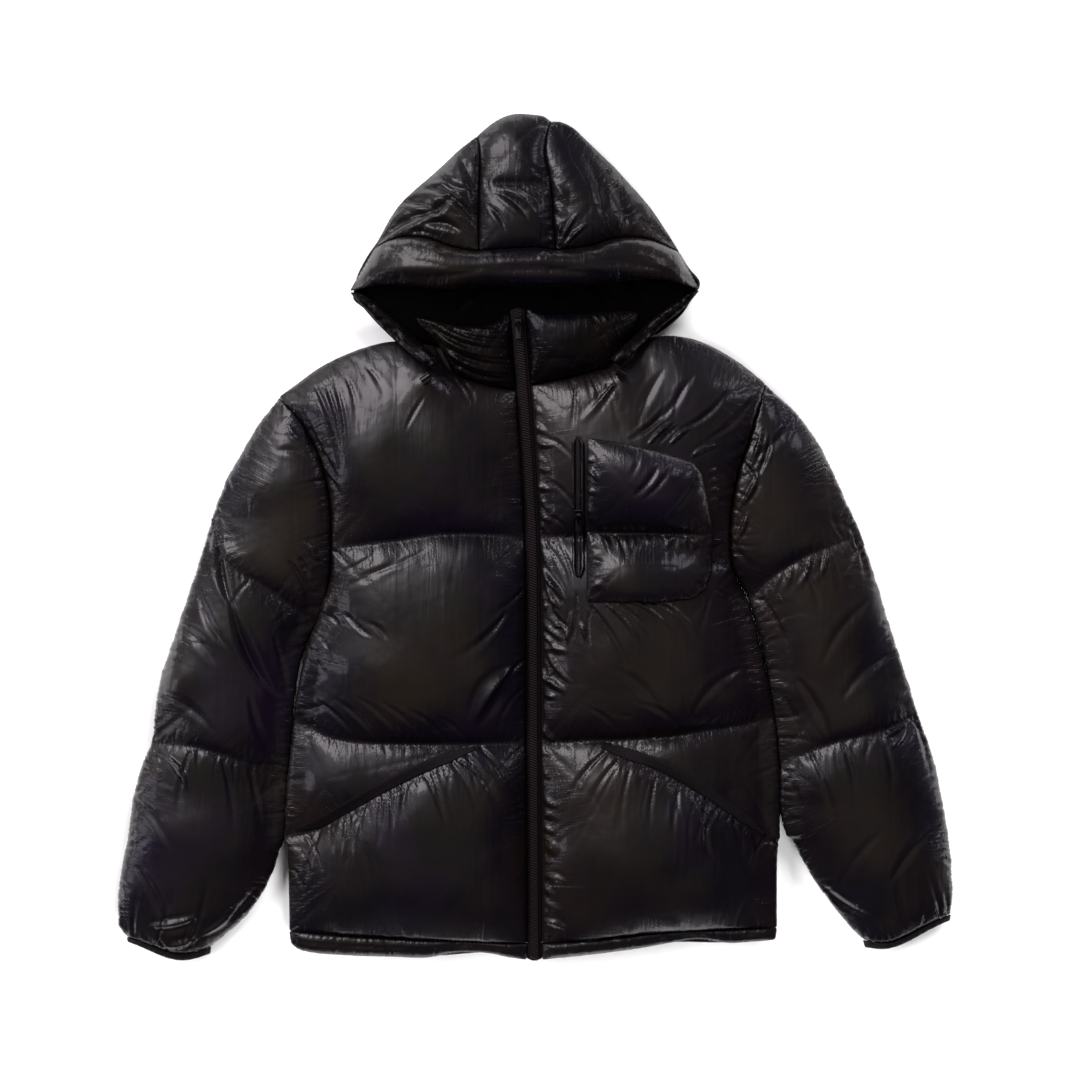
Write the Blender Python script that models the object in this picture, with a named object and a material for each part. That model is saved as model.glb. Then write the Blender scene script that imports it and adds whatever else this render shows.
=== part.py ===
"""A hooded puffer jacket, zipped up and laid flat on its back with the front facing up.

X runs across the jacket to the wearer's left arm, Y from the hem to the hood, and Z up from the
surface it lies on. Tables are in millimetres. Fronts and sleeve tops lie above the level SEAM_Z,
back and sleeve undersides below it, and each padded panel is one closed solid between two heights.
"""

import math

import bmesh
import bpy
import numpy as np
from mathutils import Matrix, Vector

MM = 0.001
ORIGIN = (0.75, 1.32)  # the middle of the jacket's footprint, x, y in the tables' millimetres
SEAM_GAP = 0.3  # clear space between two pieces at a seam
SEAM_Z = 30.0  # height of the side, shoulder and underarm seams
SLIT = 2.0  # clear space between the front and back layers, inside the jacket
EDGE = 4.0  # thickness of a padded layer where it is sewn down at an outline
SEAM_RISE = 20.0  # how far a quilted seam in the front stands above SEAM_Z
BACK_EDGE_Z = 22.0  # height of the back's underside where it turns up at its outline
FRONT_LOW = SEAM_Z + SLIT / 2  # underside of a front inside the jacket
SHUT_LOW = SEAM_Z + SEAM_GAP / 2  # underside of a top layer where it meets the layer below
ZIP_EDGE_Z = SEAM_Z + 17  # height of the fronts' edges along the zip
FRONT_SEAM_Z = [ZIP_EDGE_Z, ZIP_EDGE_Z, ZIP_EDGE_Z - 5]  # the chest, waist and hem seams beside the zip
FRONT_SEAM_BULGE = [4, 11, 8]  # how far those seams rise between their ends
FRONT_PUFF = [30, 32, 32]  # how far each baffle's middle stands above its seams

ZIP_HALF = 8.5  # half the width of the zip strip that shows between the fronts
ZIP_TOP_Y = 267.0
ZIP_FOOT_Y = -489.0
ZIP_TAPE_Z = SEAM_Z + 11
ZIP_TAPE_THICK = 1.6
ZIP_CHAIN_HALF = 4.6  # half the width of the closed chain
ZIP_CHAIN_Z = 4.6  # height of the chain's top above the tape's underside
ZIP_DROP = 5.0  # how far the zip falls from the waist seam to the hem
ZIP_ROWS = 22
ZIP_LINE = [(-20, 267), (-12, 161), (-5, 52), (-2, -24), (-1.5, -129), (-1, -300), (0, -489)]  # x, y

# Steps across and down a panel, as parts of its width or height, closer together at its seams.
ACROSS_FRONT = [0, 0.03, 0.09, 0.2, 0.33, 0.45, 0.57, 0.7, 0.84, 0.95, 1]
ACROSS_BACK = [0, 0.02, 0.05, 0.11, 0.24, 0.32, 0.41, 0.5, 0.59, 0.68, 0.78, 0.89, 0.95, 0.98, 1]
ACROSS_SMALL = [0, 0.08, 0.25, 0.5, 0.75, 0.92, 1]
ACROSS_COLLAR = [0, 0.2, 0.5, 0.82, 1]
DOWN_BAFFLE = [0, 0.07, 0.22, 0.5, 0.78, 0.93, 1]
DOWN_BAND = [0, 0.5, 1]
SHOULDER_PARTS = [0, 0.1, 0.32, 0.6, 0.74, 1]
NECK_PARTS = [0, 0.32, 0.5, 0.7, 0.88, 1]
SIDE_PARTS = [0.12, 0.26, 0.4, 0.55, 0.7, 0.85, 0.94, 1]

# Outlines of the two body halves: x, y. The wearer's right lies at -X.
RIGHT = {
    "shoulder": [(-296, 164), (-249, 198), (-214, 216), (-161, 229), (-116, 223)],
    "neck": [(-116, 223), (-98, 195), (-60, 178)],
    "neck_zip_y": 171,
    "armhole": [(-296, 164), (-270, 137), (-250, 97), (-237, 50), (-235, -2), (-236, -42), (-246, -85)],
    "side": [(-246, -85), (-262, -129), (-272, -176), (-278, -228), (-284, -278), (-287, -353),
             (-285, -402), (-284, -455)],
    "chest_quilt": [(-156, -3), (-86, 1)],
    "chest_zip_y": 2,
    "armhole_parts": [0, 0.04, 0.12, 0.26, 0.42, 0.56, 0.685, 0.83, 0.95, 1],
    "waist_quilt": [(-179, -237), (-86, -238)],
    "waist_zip_y": -236,
    "waist_at": 0.4,
    "hem_quilt": [(-156, -463), (-63, -467)],
    "hem_zip_y": -469,
    "hem_edge": [(-271, -477), (-237, -482), (-156, -485), (-110, -485), (-75, -476), (-40, -484)],
}
LEFT = {
    "shoulder": [(267, 180), (244, 199), (212, 219), (166, 235), (112, 229)],
    "neck": [(112, 229), (96, 203), (64, 192), (39, 185)],
    "neck_zip_y": 177,
    "armhole": [(267, 180), (250, 120), (233, 68), (227, 27), (226, -8), (230, -37), (240, -57)],
    "side": [(240, -57), (258, -118), (269, -176), (275, -206), (281, -265), (282, -338), (281, -396),
             (281, -451)],
    "chest_quilt": [(150, -4), (70, 1)],
    "chest_zip_y": 2,
    "armhole_parts": [0, 0.04, 0.12, 0.27, 0.45, 0.62, 0.789, 0.89, 0.96, 1],
    "waist_quilt": [(192, -223), (134, -231)],
    "waist_zip_y": -236,
    "waist_at": 0.38,
    "hem_quilt": [(192, -454), (134, -457), (76, -464)],
    "hem_zip_y": -469,
    "hem_edge": [(271, -466), (215, -469), (186, -464), (134, -473), (76, -481)],
}
CHEST_ROW = 6  # which of the armhole's points the chest quilting meets

# Sleeves: x, y of the lines from the shoulder or armpit to the cuff, and of the quilted seams across.
RIGHT_SLEEVE = {
    "outer": [
        [(-296, 164), (-316, 140), (-339, 103), (-359, 68), (-375, 25)],
        [(-375, 25), (-388, -20), (-409, -83), (-438, -176), (-445, -236)],
        [(-445, -236), (-460, -271), (-468, -315), (-482, -396), (-487, -443), (-474, -462)],
    ],
    "inner": [
        [(-246, -85), (-256, -98)],
        [(-256, -98), (-270, -130), (-279, -176), (-284, -228), (-289, -278)],
        [(-289, -278), (-292, -353), (-303, -388), (-328, -431), (-351, -454), (-375, -468)],
    ],
    "quilts": [
        [(-375, 25), (-364, -14), (-342, -37), (-306, -60), (-277, -82), (-256, -98)],
        [(-445, -236), (-394, -241), (-342, -257), (-289, -278)],
        [(-474, -462), (-429, -471), (-375, -468)],
    ],
    "cuff": [(-473, -468), (-429, -479), (-376, -476)],
}
LEFT_SLEEVE = {
    "outer": [
        [(267, 180), (302, 149), (335, 103), (357, 56), (380, 5)],
        [(380, 5), (401, -60), (415, -106), (432, -158), (445, -201)],
        [(445, -201), (461, -245), (472, -292), (483, -356), (487, -408), (484, -436)],
    ],
    "inner": [
        [(240, -57), (250, -70)],
        [(250, -70), (265, -118), (275, -176), (281, -206), (286, -265)],
        [(286, -265), (288, -335), (304, -364), (332, -408), (360, -444), (381, -459)],
    ],
    "quilts": [
        [(380, 5), (343, -8), (308, -24), (273, -46), (250, -70)],
        [(445, -201), (401, -223), (354, -234), (309, -251), (286, -265)],
        [(484, -436), (430, -455), (381, -459)],
    ],
    "cuff": [(483, -443), (433, -462), (383, -467)],
}
SLEEVE_PUFF = 28.0
SLEEVE_END_RISE = 11.0
SLEEVE_END_LIFT = 12.0  # how far the sleeve's underside turns up at the cuff
CUFF_DROP = 8.0  # how far the sleeve's mid level falls between its last quilted seam and the cuff
CUFF_LEVEL = SEAM_Z - CUFF_DROP
CUFF_RISE = 9.0

# Hood: x, y of the outlines and seams, and heights above SEAM_Z of the hollow under the top layer.
HOOD_TIP_RIGHT = (-214, 287)
HOOD_TIP_LEFT = (191, 289)
HOOD_OUTLINE = {
    "right_low": [(-186, 336), (-161, 381), (-139, 404)],
    "right_high": [(-139, 404), (-112, 427), (-89, 449), (-67, 466)],
    "top": [(-67, 466), (-53, 478), (-35, 490), (-11, 492), (11, 489), (19, 483)],
    "left_high": [(19, 483), (35, 482), (53, 468), (93, 430)],
    "left_low": [(93, 430), (136, 381), (168, 332)],
}
HOOD_SEAM_RIGHT = [(-67, 466), (-63, 445), (-64, 379), (-64, 332)]
HOOD_SEAM_LEFT = [(19, 483), (12, 456), (19, 412), (25, 333)]
BRIM_SEAM_RIGHT = [(-186, 336), (-165, 347), (-136, 349), (-113, 344), (-89, 335), (-64, 332)]
BRIM_SEAM_MID = [(-64, 332), (-41, 334), (2, 336), (25, 333)]
BRIM_SEAM_LEFT = [(25, 333), (66, 338), (95, 347), (115, 349), (137, 345), (168, 332)]
BRIM_EDGE = [(-214, 287), (-168, 294), (-107, 288), (-45, 292), (-6, 291), (52, 291), (137, 300),
             (191, 289)]
HOLLOW_SEAM = 24.0
HOLLOW_EDGE = 27.0
HOOD_SEAM_RISE = 14.0
HOOD_EDGE_RIGHT = {
    "outer": [(-214, 286), (-179, 246), (-142, 212), (-121, 196)],
    "inner": [(-189, 281), (-151, 246), (-119, 214), (-107, 204)],
}
HOOD_EDGE_LEFT = {
    "outer": [(191, 288), (172, 266), (150, 248), (119, 219), (99, 199)],
    "inner": [(170, 280), (137, 255), (108, 228), (87, 207)],
}
HOOD_EDGE_RISE = 20.0
HOOD_EDGE_CLEAR = 3.0  # space between the hood's edge and the front it lies over
HOOD_FOOT_RIGHT = (-163, 231)  # where the hood's underlayer leaves the shoulder seam
HOOD_FOOT_LEFT = (150, 241)
HOOD_PUFF = 14.0
BRIM_PUFF = 18.0
BRIM_EDGE_RISE = 8.0
COLLAR_PUFF = 12.0

# Collar: x, y of each front stand.
COLLAR_RIGHT = {
    "side": [(-112, 225), (-128, 239), (-140, 256)],
    "top": [(-140, 256), (-117, 252), (-86, 246), (-61, 243), (-44, 251)],
    "top_zip_y": 263,
}
COLLAR_LEFT = {
    "side": [(107, 231), (118, 246), (122, 262)],
    "top": [(122, 262), (99, 262), (81, 270), (66, 264), (40, 256), (23, 258)],
    "top_zip_y": 266,
}

# Trims: x, y.
POCKET_OUTLINE = [(60, -73), (134, -75), (180, -70), (197, -60), (205, -37), (206, -2), (205, 14),
                  (199, 46), (191, 77), (183, 87), (152, 98), (106, 109), (60, 116)]
CHEST_ZIP_OUTLINE = [(43, -45), (59, -45), (59, 118), (41, 118)]
POCKET_TAB_OUTLINE = [(207, -12), (216, -12), (216, 4), (207, 4)]
WELT_WIDTH = 14.0
WELT_RIGHT = [(-76, -247), (-119, -266), (-173, -292), (-219, -318), (-250, -336)]
WELT_LEFT = [(79, -247), (141, -267), (194, -296), (243, -330), (266, -350)]
FRONT_SLIDER_Y = 252.0
CHEST_SLIDER_Y = 27.0
CHEST_ZIP_X = 50.5
CHEST_ZIP_THICK = 3.4
CORD_LOCK_CLEAR = 0.5
LOCK_RADIUS = 4.8
LOCK_WAIST = 4.3
CORD_LOCKS = {"right": (-125, 184, 35), "left": (100, 189, -35)}  # x, y, turn in degrees

# Zip slider and its pull tab.
SLIDER_LENGTH = 12.0
SLIDER_WIDTH = 9.0
SLIDER_HEIGHT = 2.6
PIN_RADIUS = 0.9
BORE_RADIUS = 1.3
KNUCKLE_RADIUS = 2.2
KNUCKLE_LENGTH = 3.0
EAR_GAP = 0.4
EAR_WIDTH = 1.5
TAB_LENGTH = 21.0
TAB_WIDTH = 6.4
TAB_THICKNESS = 1.5


def dome(part, power=2.4):
    """0 at both ends of the unit line and 1 between, rising steeply like a sewn-down cushion."""
    return np.sqrt(1 - np.abs(2 * np.asarray(part, float) - 1) ** power)


def smooth(points, dense=12):
    """A smooth line through the points, as many closely spaced ones."""
    ends = np.array(points, float)
    ends = np.vstack([2 * ends[0] - ends[1], ends, 2 * ends[-1] - ends[-2]])
    line = []
    for a, b, c, d in zip(ends, ends[1:], ends[2:], ends[3:]):
        for t in np.arange(dense) / dense:
            line.append(0.5 * (2 * b + (c - a) * t + (2 * a - 5 * b + 4 * c - d) * t**2
                               + (3 * b - a - 3 * c + d) * t**3))
    return np.vstack([line, ends[-2]])


def reach(line):
    """How far along the line each of its points lies, from 0 to 1."""
    steps = np.hypot(*np.diff(line[:, :2], axis=0).T)
    total = np.concatenate([[0], np.cumsum(steps)])
    return total / total[-1]


def sample(line, parts):
    """Points of the line at the given parts of its length."""
    along = reach(line)
    return np.column_stack([np.interp(parts, along, column) for column in line.T])


def join(*lines):
    return np.vstack([lines[0]] + [line[1:] for line in lines[1:]])


def shifted(line, dx, dy):
    moved = line.copy()
    moved[:, 0] += dx
    moved[:, 1] += dy
    return moved


def heights(line, low, start, end, bulge=0.0, low_end=None):
    """The line with its underside's and its top's height: start to end, raised by bulge between."""
    part = reach(line)
    floor = low + ((low if low_end is None else low_end) - low) * part
    return np.column_stack([line[:, :2], floor, start + (end - start) * part + bulge * dome(part)])


def patch(top, bottom, left, right, across, down):
    """A grid of points between four lines of points (a Coons patch).

    The top and bottom have a point for each step across, and the left and right for each step down.
    """
    u = np.array(across, float)[None, :, None]
    v = np.array(down, float)[:, None, None]
    corners = ((1 - u) * (1 - v) * top[0] + u * (1 - v) * top[-1]
               + (1 - u) * v * bottom[0] + u * v * bottom[-1])
    across_edges = (1 - v) * top[None] + v * bottom[None]
    down_edges = (1 - u) * left[:, None] + u * right[:, None]
    return across_edges + down_edges - corners


def puffed(grid, across, down, height):
    """The grid with its top raised between the seams around it."""
    grid[:, :, 3] += height * dome(across)[None, :] * dome(down)[:, None]
    return grid


def stacked(*grids):
    """Baffles one below the other, sharing the row of points at each quilted seam."""
    return np.vstack([grids[0]] + [grid[1:] for grid in grids[1:]])


def mesh_object(name, mesh, material):
    bmesh.ops.recalc_face_normals(mesh, faces=mesh.faces)
    data = bpy.data.meshes.new(name)
    mesh.to_mesh(data)
    mesh.free()
    data.materials.append(material)
    piece = bpy.data.objects.new(name, data)
    bpy.context.scene.collection.objects.link(piece)
    return piece


def in_frame(x, y, z):
    """A place in the tables' millimetres, in metres from the middle of the footprint."""
    return Vector((x - ORIGIN[0], y - ORIGIN[1], z)) * MM


def point(mesh, x, y, z):
    return mesh.verts.new(in_frame(x, y, z))


def two_triangles(mesh, a, b, c, d):
    mesh.faces.new((a, b, c))
    mesh.faces.new((a, c, d))


def slab(name, grid, material):
    """A closed solid between the undersides and the tops of a grid of points."""
    mesh = bmesh.new()
    tops = [[point(mesh, x, y, high) for x, y, low, high in row] for row in grid]
    floors = [[point(mesh, x, y, low) for x, y, low, high in row] for row in grid]
    for sheet in (tops, floors):
        for above, below in zip(sheet, sheet[1:]):
            for i in range(len(above) - 1):
                two_triangles(mesh, above[i], above[i + 1], below[i + 1], below[i])
    rims = [
        (tops[0], floors[0]),
        (tops[-1], floors[-1]),
        ([row[0] for row in tops], [row[0] for row in floors]),
        ([row[-1] for row in tops], [row[-1] for row in floors]),
    ]
    for rim, foot in rims:
        for i in range(len(rim) - 1):
            two_triangles(mesh, rim[i], rim[i + 1], foot[i + 1], foot[i])
    return mesh_object(name, mesh, material)


def tube(name, grid, levels, material):
    """A flattened tube with a slit along its middle: levels gives each row's mid height."""
    mesh = bmesh.new()
    outer, inner = [], []
    last = len(grid[0]) - 1
    for row, level in zip(grid, levels):
        rising = [point(mesh, row[0][0], row[0][1], level)]
        rising += [point(mesh, x, y, high) for x, y, low, high in row[1:last]]
        falling = [point(mesh, row[last][0], row[last][1], level)]
        falling += [point(mesh, x, y, low) for x, y, low, high in row[last - 1 : 0 : -1]]
        outer.append(rising + falling)
        roof = [point(mesh, x, y, level + SLIT / 2) for x, y, low, high in row[1:last]]
        floor = [point(mesh, x, y, level - SLIT / 2) for x, y, low, high in row[last - 1 : 0 : -1]]
        inner.append(roof + floor)
    for rings in (outer, inner):
        for above, below in zip(rings, rings[1:]):
            for i in range(len(above)):
                two_triangles(mesh, above[i], above[i - 1], below[i - 1], below[i])
    for ring, hole in ((outer[0], inner[0]), (outer[-1], inner[-1])):
        half = last - 1
        for i in range(half - 1):
            two_triangles(mesh, ring[i + 1], ring[i + 2], hole[i + 1], hole[i])
            two_triangles(mesh, ring[last + i + 1], ring[last + i + 2], hole[half + i + 1], hole[half + i])
        for corner, before, after, one, two in (
            (ring[0], ring[-1], ring[1], hole[0], hole[-1]),
            (ring[last], ring[last - 1], ring[last + 1], hole[half], hole[half - 1]),
        ):
            mesh.faces.new((corner, after, one))
            mesh.faces.new((corner, one, two))
            mesh.faces.new((corner, two, before))
    return mesh_object(name, mesh, material)


def strip(name, rows, material):
    """A closed solid swept through like cross-sections, with flat ends."""
    mesh = bmesh.new()
    rings = [[point(mesh, *corner) for corner in row] for row in rows]
    for above, below in zip(rings, rings[1:]):
        for i in range(len(above)):
            two_triangles(mesh, above[i - 1], above[i], below[i], below[i - 1])
    mesh.faces.new(rings[0])
    mesh.faces.new(rings[-1])
    return mesh_object(name, mesh, material)


def upper_triangles(grid):
    """The triangles of a slab's top, as three points each, in millimetres."""
    tops = grid[:, :, [0, 1, 3]]
    triangles = []
    for above, below in zip(tops, tops[1:]):
        for i in range(len(above) - 1):
            triangles.append((above[i], above[i + 1], below[i + 1]))
            triangles.append((above[i], below[i + 1], below[i]))
    return triangles


def height_on(triangles, x, y, missing=None):
    """The height of a panel's top at x, y, or the value for a place beside the panel."""
    for a, b, c in triangles:
        matrix = np.column_stack([b[:2] - a[:2], c[:2] - a[:2]])
        if abs(np.linalg.det(matrix)) < 1e-9:
            continue
        s, t = np.linalg.solve(matrix, np.array([x, y]) - a[:2])
        if s >= -1e-6 and t >= -1e-6 and s + t <= 1 + 1e-6:
            return float(a[2] + s * (b[2] - a[2]) + t * (c[2] - a[2]))
    if missing is None:
        raise ValueError(f"no panel under {x}, {y}")
    return missing


def clipped(triangles, cell):
    """The part of a panel's top inside a convex outline whose corners run anticlockwise."""
    mesh = bmesh.new()
    for corners in triangles:
        mesh.faces.new([mesh.verts.new(corner) for corner in corners])
    bmesh.ops.remove_doubles(mesh, verts=mesh.verts, dist=1e-4)
    for a, b in zip(cell, cell[1:] + cell[:1]):
        outward = Vector((b[1] - a[1], a[0] - b[0], 0)).normalized()
        geometry = mesh.verts[:] + mesh.edges[:] + mesh.faces[:]
        bmesh.ops.bisect_plane(mesh, geom=geometry, dist=1e-5, plane_co=(a[0], a[1], 0), plane_no=outward,
                               clear_outer=True)
    return [[loop.vert.co.copy() for loop in face.loops] for face in mesh.faces]


def edge_distance(x, y, rim):
    """The distance from x, y to the nearest of the outline's sides."""
    nearest = 1e9
    for a, b in rim:
        side = Vector((b[0] - a[0], b[1] - a[1]))
        offset = Vector((x - a[0], y - a[1]))
        t = min(1, max(0, offset.dot(side) / side.length_squared))
        nearest = min(nearest, (offset - side * t).length)
    return nearest


def laid_on(name, triangles, cells, edge, crown, reach_in, material):
    """A piece sewn on a panel: the panel's own points inside the cells, moved out, and thickened.

    It is edge thick at its outline and crown thick from reach_in inside it.
    """
    mesh = bmesh.new()
    for cell in cells:
        for face in clipped(triangles, cell):
            mesh.faces.new([mesh.verts.new(co + Vector((0, 0, SEAM_GAP))) for co in face])
    bmesh.ops.remove_doubles(mesh, verts=mesh.verts, dist=0.02)
    bmesh.ops.dissolve_degenerate(mesh, edges=mesh.edges, dist=0.02)
    bmesh.ops.triangulate(mesh, faces=mesh.faces)
    bmesh.ops.recalc_face_normals(mesh, faces=mesh.faces)
    rim = [(tuple(e.verts[0].co[:2]), tuple(e.verts[1].co[:2])) for e in mesh.edges if e.is_boundary]
    floor = list(mesh.verts)
    lifted = {}
    for vert in floor:
        inward = min(1.0, edge_distance(vert.co.x, vert.co.y, rim) / reach_in)
        thick = edge + (crown - edge) * math.sin(inward * math.pi / 2)
        lifted[vert] = mesh.verts.new(vert.co + Vector((0, 0, thick)))
    open_edges = [edge for edge in mesh.edges if edge.is_boundary]
    for face in list(mesh.faces):
        mesh.faces.new([lifted[v] for v in reversed(face.verts)])
    for side in open_edges:
        a, b = side.verts
        two_triangles(mesh, a, b, lifted[b], lifted[a])
    for vert in mesh.verts:
        vert.co = in_frame(*vert.co)
    return mesh_object(name, mesh, material)


# Materials


def material(name, colour, roughness, metallic=0.0):
    made = bpy.data.materials.new(name)
    made.use_nodes = True
    shader = made.node_tree.nodes["Principled BSDF"]
    shader.inputs["Base Color"].default_value = (*colour, 1)
    shader.inputs["Roughness"].default_value = roughness
    shader.inputs["Metallic"].default_value = metallic
    return made


def shell_nylon():
    return material("glossy shell nylon", (0.012, 0.011, 0.012), 0.28)


def tape_polyester():
    return material("zip tape polyester", (0.014, 0.013, 0.013), 0.8)


def elastic_binding():
    return material("elastic binding", (0.010, 0.010, 0.010), 0.75)


def painted_zinc():
    return material("painted zinc", (0.03, 0.03, 0.03), 0.35, 0.9)


def moulded_nylon():
    return material("moulded nylon", (0.02, 0.02, 0.02), 0.4)


# Body


def zip_x(y):
    line = smooth(ZIP_LINE)[::-1]
    return float(np.interp(y, line[:, 1], line[:, 0]))


def zip_edge(side, start_y, end_y, low, start, end, bulge=0.0):
    """The edge of a front along the zip, from one height on the jacket to another."""
    ys = np.linspace(start_y, end_y, 60)
    reach_x = side * (ZIP_HALF + SEAM_GAP)
    line = np.column_stack([[zip_x(y) + reach_x for y in ys], ys])
    return heights(line, low, start, end, bulge)


def to_zip(points, side, y):
    """A line across a front that ends at the zip's edge."""
    return smooth(points + [(zip_x(y) + side * (ZIP_HALF + SEAM_GAP), y)])


def armhole_points(half, low):
    """The armhole seam from the shoulder to the armpit, standing up between its ends."""
    line = heights(smooth(half["armhole"]), low, SEAM_Z + EDGE, SEAM_Z + EDGE, SEAM_RISE - EDGE)
    return sample(line, half["armhole_parts"])


def front_grid(half, side):
    """The baffles of one front: chest, middle and lower."""
    low = SHUT_LOW
    armhole = armhole_points(half, low)
    seam = heights(smooth(half["side"]), low, SEAM_Z + EDGE, SEAM_Z + EDGE)
    shoulder = heights(smooth(half["shoulder"]), low, SEAM_Z + EDGE, SEAM_Z + EDGE)
    neck = to_zip(half["neck"], side, half["neck_zip_y"])
    neck = heights(neck, low, SEAM_Z + EDGE, ZIP_EDGE_Z, 5, FRONT_LOW)
    waist_at = half["waist_at"]
    starts = [armhole[CHEST_ROW], sample(seam, [waist_at])[0], seam[-1]]
    rows = [join(sample(shoulder, SHOULDER_PARTS), sample(neck, NECK_PARTS))]
    for start, name, end_z, bulge in zip(starts, ("chest", "waist", "hem"), FRONT_SEAM_Z, FRONT_SEAM_BULGE):
        points = [tuple(start[:2])] + half[f"{name}_quilt"]
        line = heights(to_zip(points, side, half[f"{name}_zip_y"]), low, start[3], end_z, bulge, FRONT_LOW)
        rows.append(sample(line, ACROSS_FRONT))
    edges = [half[f"{name}_zip_y"] for name in ("neck", "chest", "waist", "hem")]
    tops = [ZIP_EDGE_Z] + FRONT_SEAM_Z
    sides = [
        armhole[: CHEST_ROW + 1],
        join(armhole[CHEST_ROW:], sample(seam, [0, 0.3 * waist_at, 0.65 * waist_at, waist_at])),
        sample(seam, waist_at + (1 - waist_at) * np.array(DOWN_BAFFLE)),
    ]
    baffles = []
    for i, puff in enumerate(FRONT_PUFF):
        at_zip = zip_edge(side, edges[i], edges[i + 1], FRONT_LOW, tops[i], tops[i + 1], 3)
        ends = sides[i], sample(at_zip, DOWN_BAFFLE)
        baffle = patch(rows[i], rows[i + 1], *ends, ACROSS_FRONT, DOWN_BAFFLE)
        baffles.append(puffed(baffle, ACROSS_FRONT, DOWN_BAFFLE, puff))
    return stacked(*baffles)


def turned_up(parts, reach_in):
    """1 at the ends of the unit line and 0 from reach_in inside them, round like a rolled edge."""
    inward = np.minimum(1, np.minimum(parts, 1 - np.asarray(parts)) / reach_in)
    return 1 - np.sqrt(1 - (1 - inward) ** 2)


def flat_line(points, low=0.0):
    """A line of the back's outline, at its top height."""
    top = np.full(len(points), SEAM_Z - SLIT / 2)
    return np.column_stack([np.array(points)[:, :2], np.full(len(points), low), top])


def back_rows():
    """The back's top row, from shoulder to shoulder, and its row at the hem casing."""
    right, left = RIGHT["shoulder"], LEFT["shoulder"]
    neck = np.linspace(right[-1], left[-1], 7)
    top = join(sample(smooth(right), [0, 0.1, 0.3, 0.6, 0.74, 1]), neck,
               sample(smooth(left), [0, 0.25, 0.6, 1])[::-1])
    right_end, left_end = RIGHT["side"][-1], LEFT["side"][-1]
    hem = smooth([right_end] + RIGHT["hem_quilt"] + [(0, -469)] + LEFT["hem_quilt"][::-1] + [left_end])
    return top, sample(hem, ACROSS_BACK)


def back_grid():
    top, hem = back_rows()
    sides = []
    for half in (RIGHT, LEFT):
        armhole = sample(smooth(half["armhole"]), half["armhole_parts"])
        sides.append(flat_line(np.vstack([armhole, sample(smooth(half["side"]), SIDE_PARTS)])))
    down = reach(sides[0])
    grid = patch(flat_line(top), flat_line(hem), *sides, ACROSS_BACK, down)
    at_sides = turned_up(np.array(ACROSS_BACK), 0.09)[None, :]
    at_ends = turned_up(down, 0.06)[:, None]
    grid[:, :, 2] = BACK_EDGE_Z * np.maximum(at_sides, at_ends)
    grid[:, [0, -1], 3] = SEAM_Z - SEAM_GAP / 2
    return grid


def hem_band_grid(half, side):
    """The folded casing along a front's lower edge."""
    corner = half["side"][-1]
    top = to_zip([corner] + half["hem_quilt"], side, half["hem_zip_y"])
    edge = to_zip([(corner[0] - side * 1.5, corner[1] - 14)] + half["hem_edge"], side, ZIP_FOOT_Y + 1)
    top = shifted(heights(top, SHUT_LOW, SEAM_Z + EDGE, FRONT_SEAM_Z[2], 6, FRONT_LOW), 0, -SEAM_GAP)
    edge = heights(edge, SHUT_LOW, SEAM_Z + EDGE, SEAM_Z + EDGE + 5, 2)
    top, edge = sample(top, ACROSS_FRONT), sample(edge, ACROSS_FRONT)
    ends = [np.linspace(top[k], edge[k], len(DOWN_BAND)) for k in (0, -1)]
    return puffed(patch(top, edge, *ends, ACROSS_FRONT, DOWN_BAND), ACROSS_FRONT, DOWN_BAND, 3)


def back_hem_grid():
    """The casing along the back's lower edge, a little above the surface the jacket lies on."""
    right, left = RIGHT["side"][-1], LEFT["side"][-1]
    foot = smooth([(right[0] + 1.5, right[1] - 14)] + RIGHT["hem_edge"] + [(0, -487)]
                  + LEFT["hem_edge"][::-1] + [(left[0] - 1.5, left[1] - 14)])
    top = shifted(flat_line(back_rows()[1], BACK_EDGE_Z - 4), 0, -SEAM_GAP)
    foot = flat_line(sample(foot, ACROSS_BACK), BACK_EDGE_Z - 2)
    ends = [np.linspace(top[k], foot[k], len(DOWN_BAND)) for k in (0, -1)]
    grid = patch(top, foot, *ends, ACROSS_BACK, DOWN_BAND)
    grid[:, [0, -1], 3] = SEAM_Z - SEAM_GAP / 2
    return grid


# Sleeves


def sleeve_grid(half, sleeve, side):
    """The sleeve's three baffles from the armhole to the cuff, and each row's mid height."""
    across = np.array(half["armhole_parts"])
    down = np.array(DOWN_BAFFLE)
    off_body = side * (SEAM_GAP + 0.1)
    rows = [shifted(sample(smooth(half["armhole"]), across), off_body, 0)]
    rows += [sample(smooth(quilt), across) for quilt in sleeve["quilts"]]
    rises = [SEAM_RISE, SEAM_RISE, SEAM_RISE, SLEEVE_END_RISE]
    drops = [0, 0, 0, CUFF_DROP]
    lifts = [0, 0, 0, SLEEVE_END_LIFT]
    fold = turned_up(across, 0.2)[None, :]
    grids, levels = [], []
    for i in range(3):
        ends = []
        for name, k in (("outer", 0), ("inner", -1)):
            line = sample(smooth(sleeve[name][i]), down)
            line[0], line[-1] = rows[i][k], rows[i + 1][k]
            ends.append(line)
        flat = [flat_line(line) for line in (rows[i], rows[i + 1], *ends)]
        grid = patch(*flat, across, down)
        level = SEAM_Z - drops[i] - (drops[i + 1] - drops[i]) * down
        rise = rises[i] + (rises[i + 1] - rises[i]) * down + SLEEVE_PUFF * dome(down)
        lift = (lifts[i] + (lifts[i + 1] - lifts[i]) * down**3)[:, None]
        grid[:, :, 3] = level[:, None] + rise[:, None] * dome(across)[None, :]
        grid[:, :, 2] = lift + (level[:, None] - lift) * fold
        grids.append(grid)
        levels.append(level)
    return stacked(*grids), np.concatenate([levels[0]] + [level[1:] for level in levels[1:]])


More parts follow.
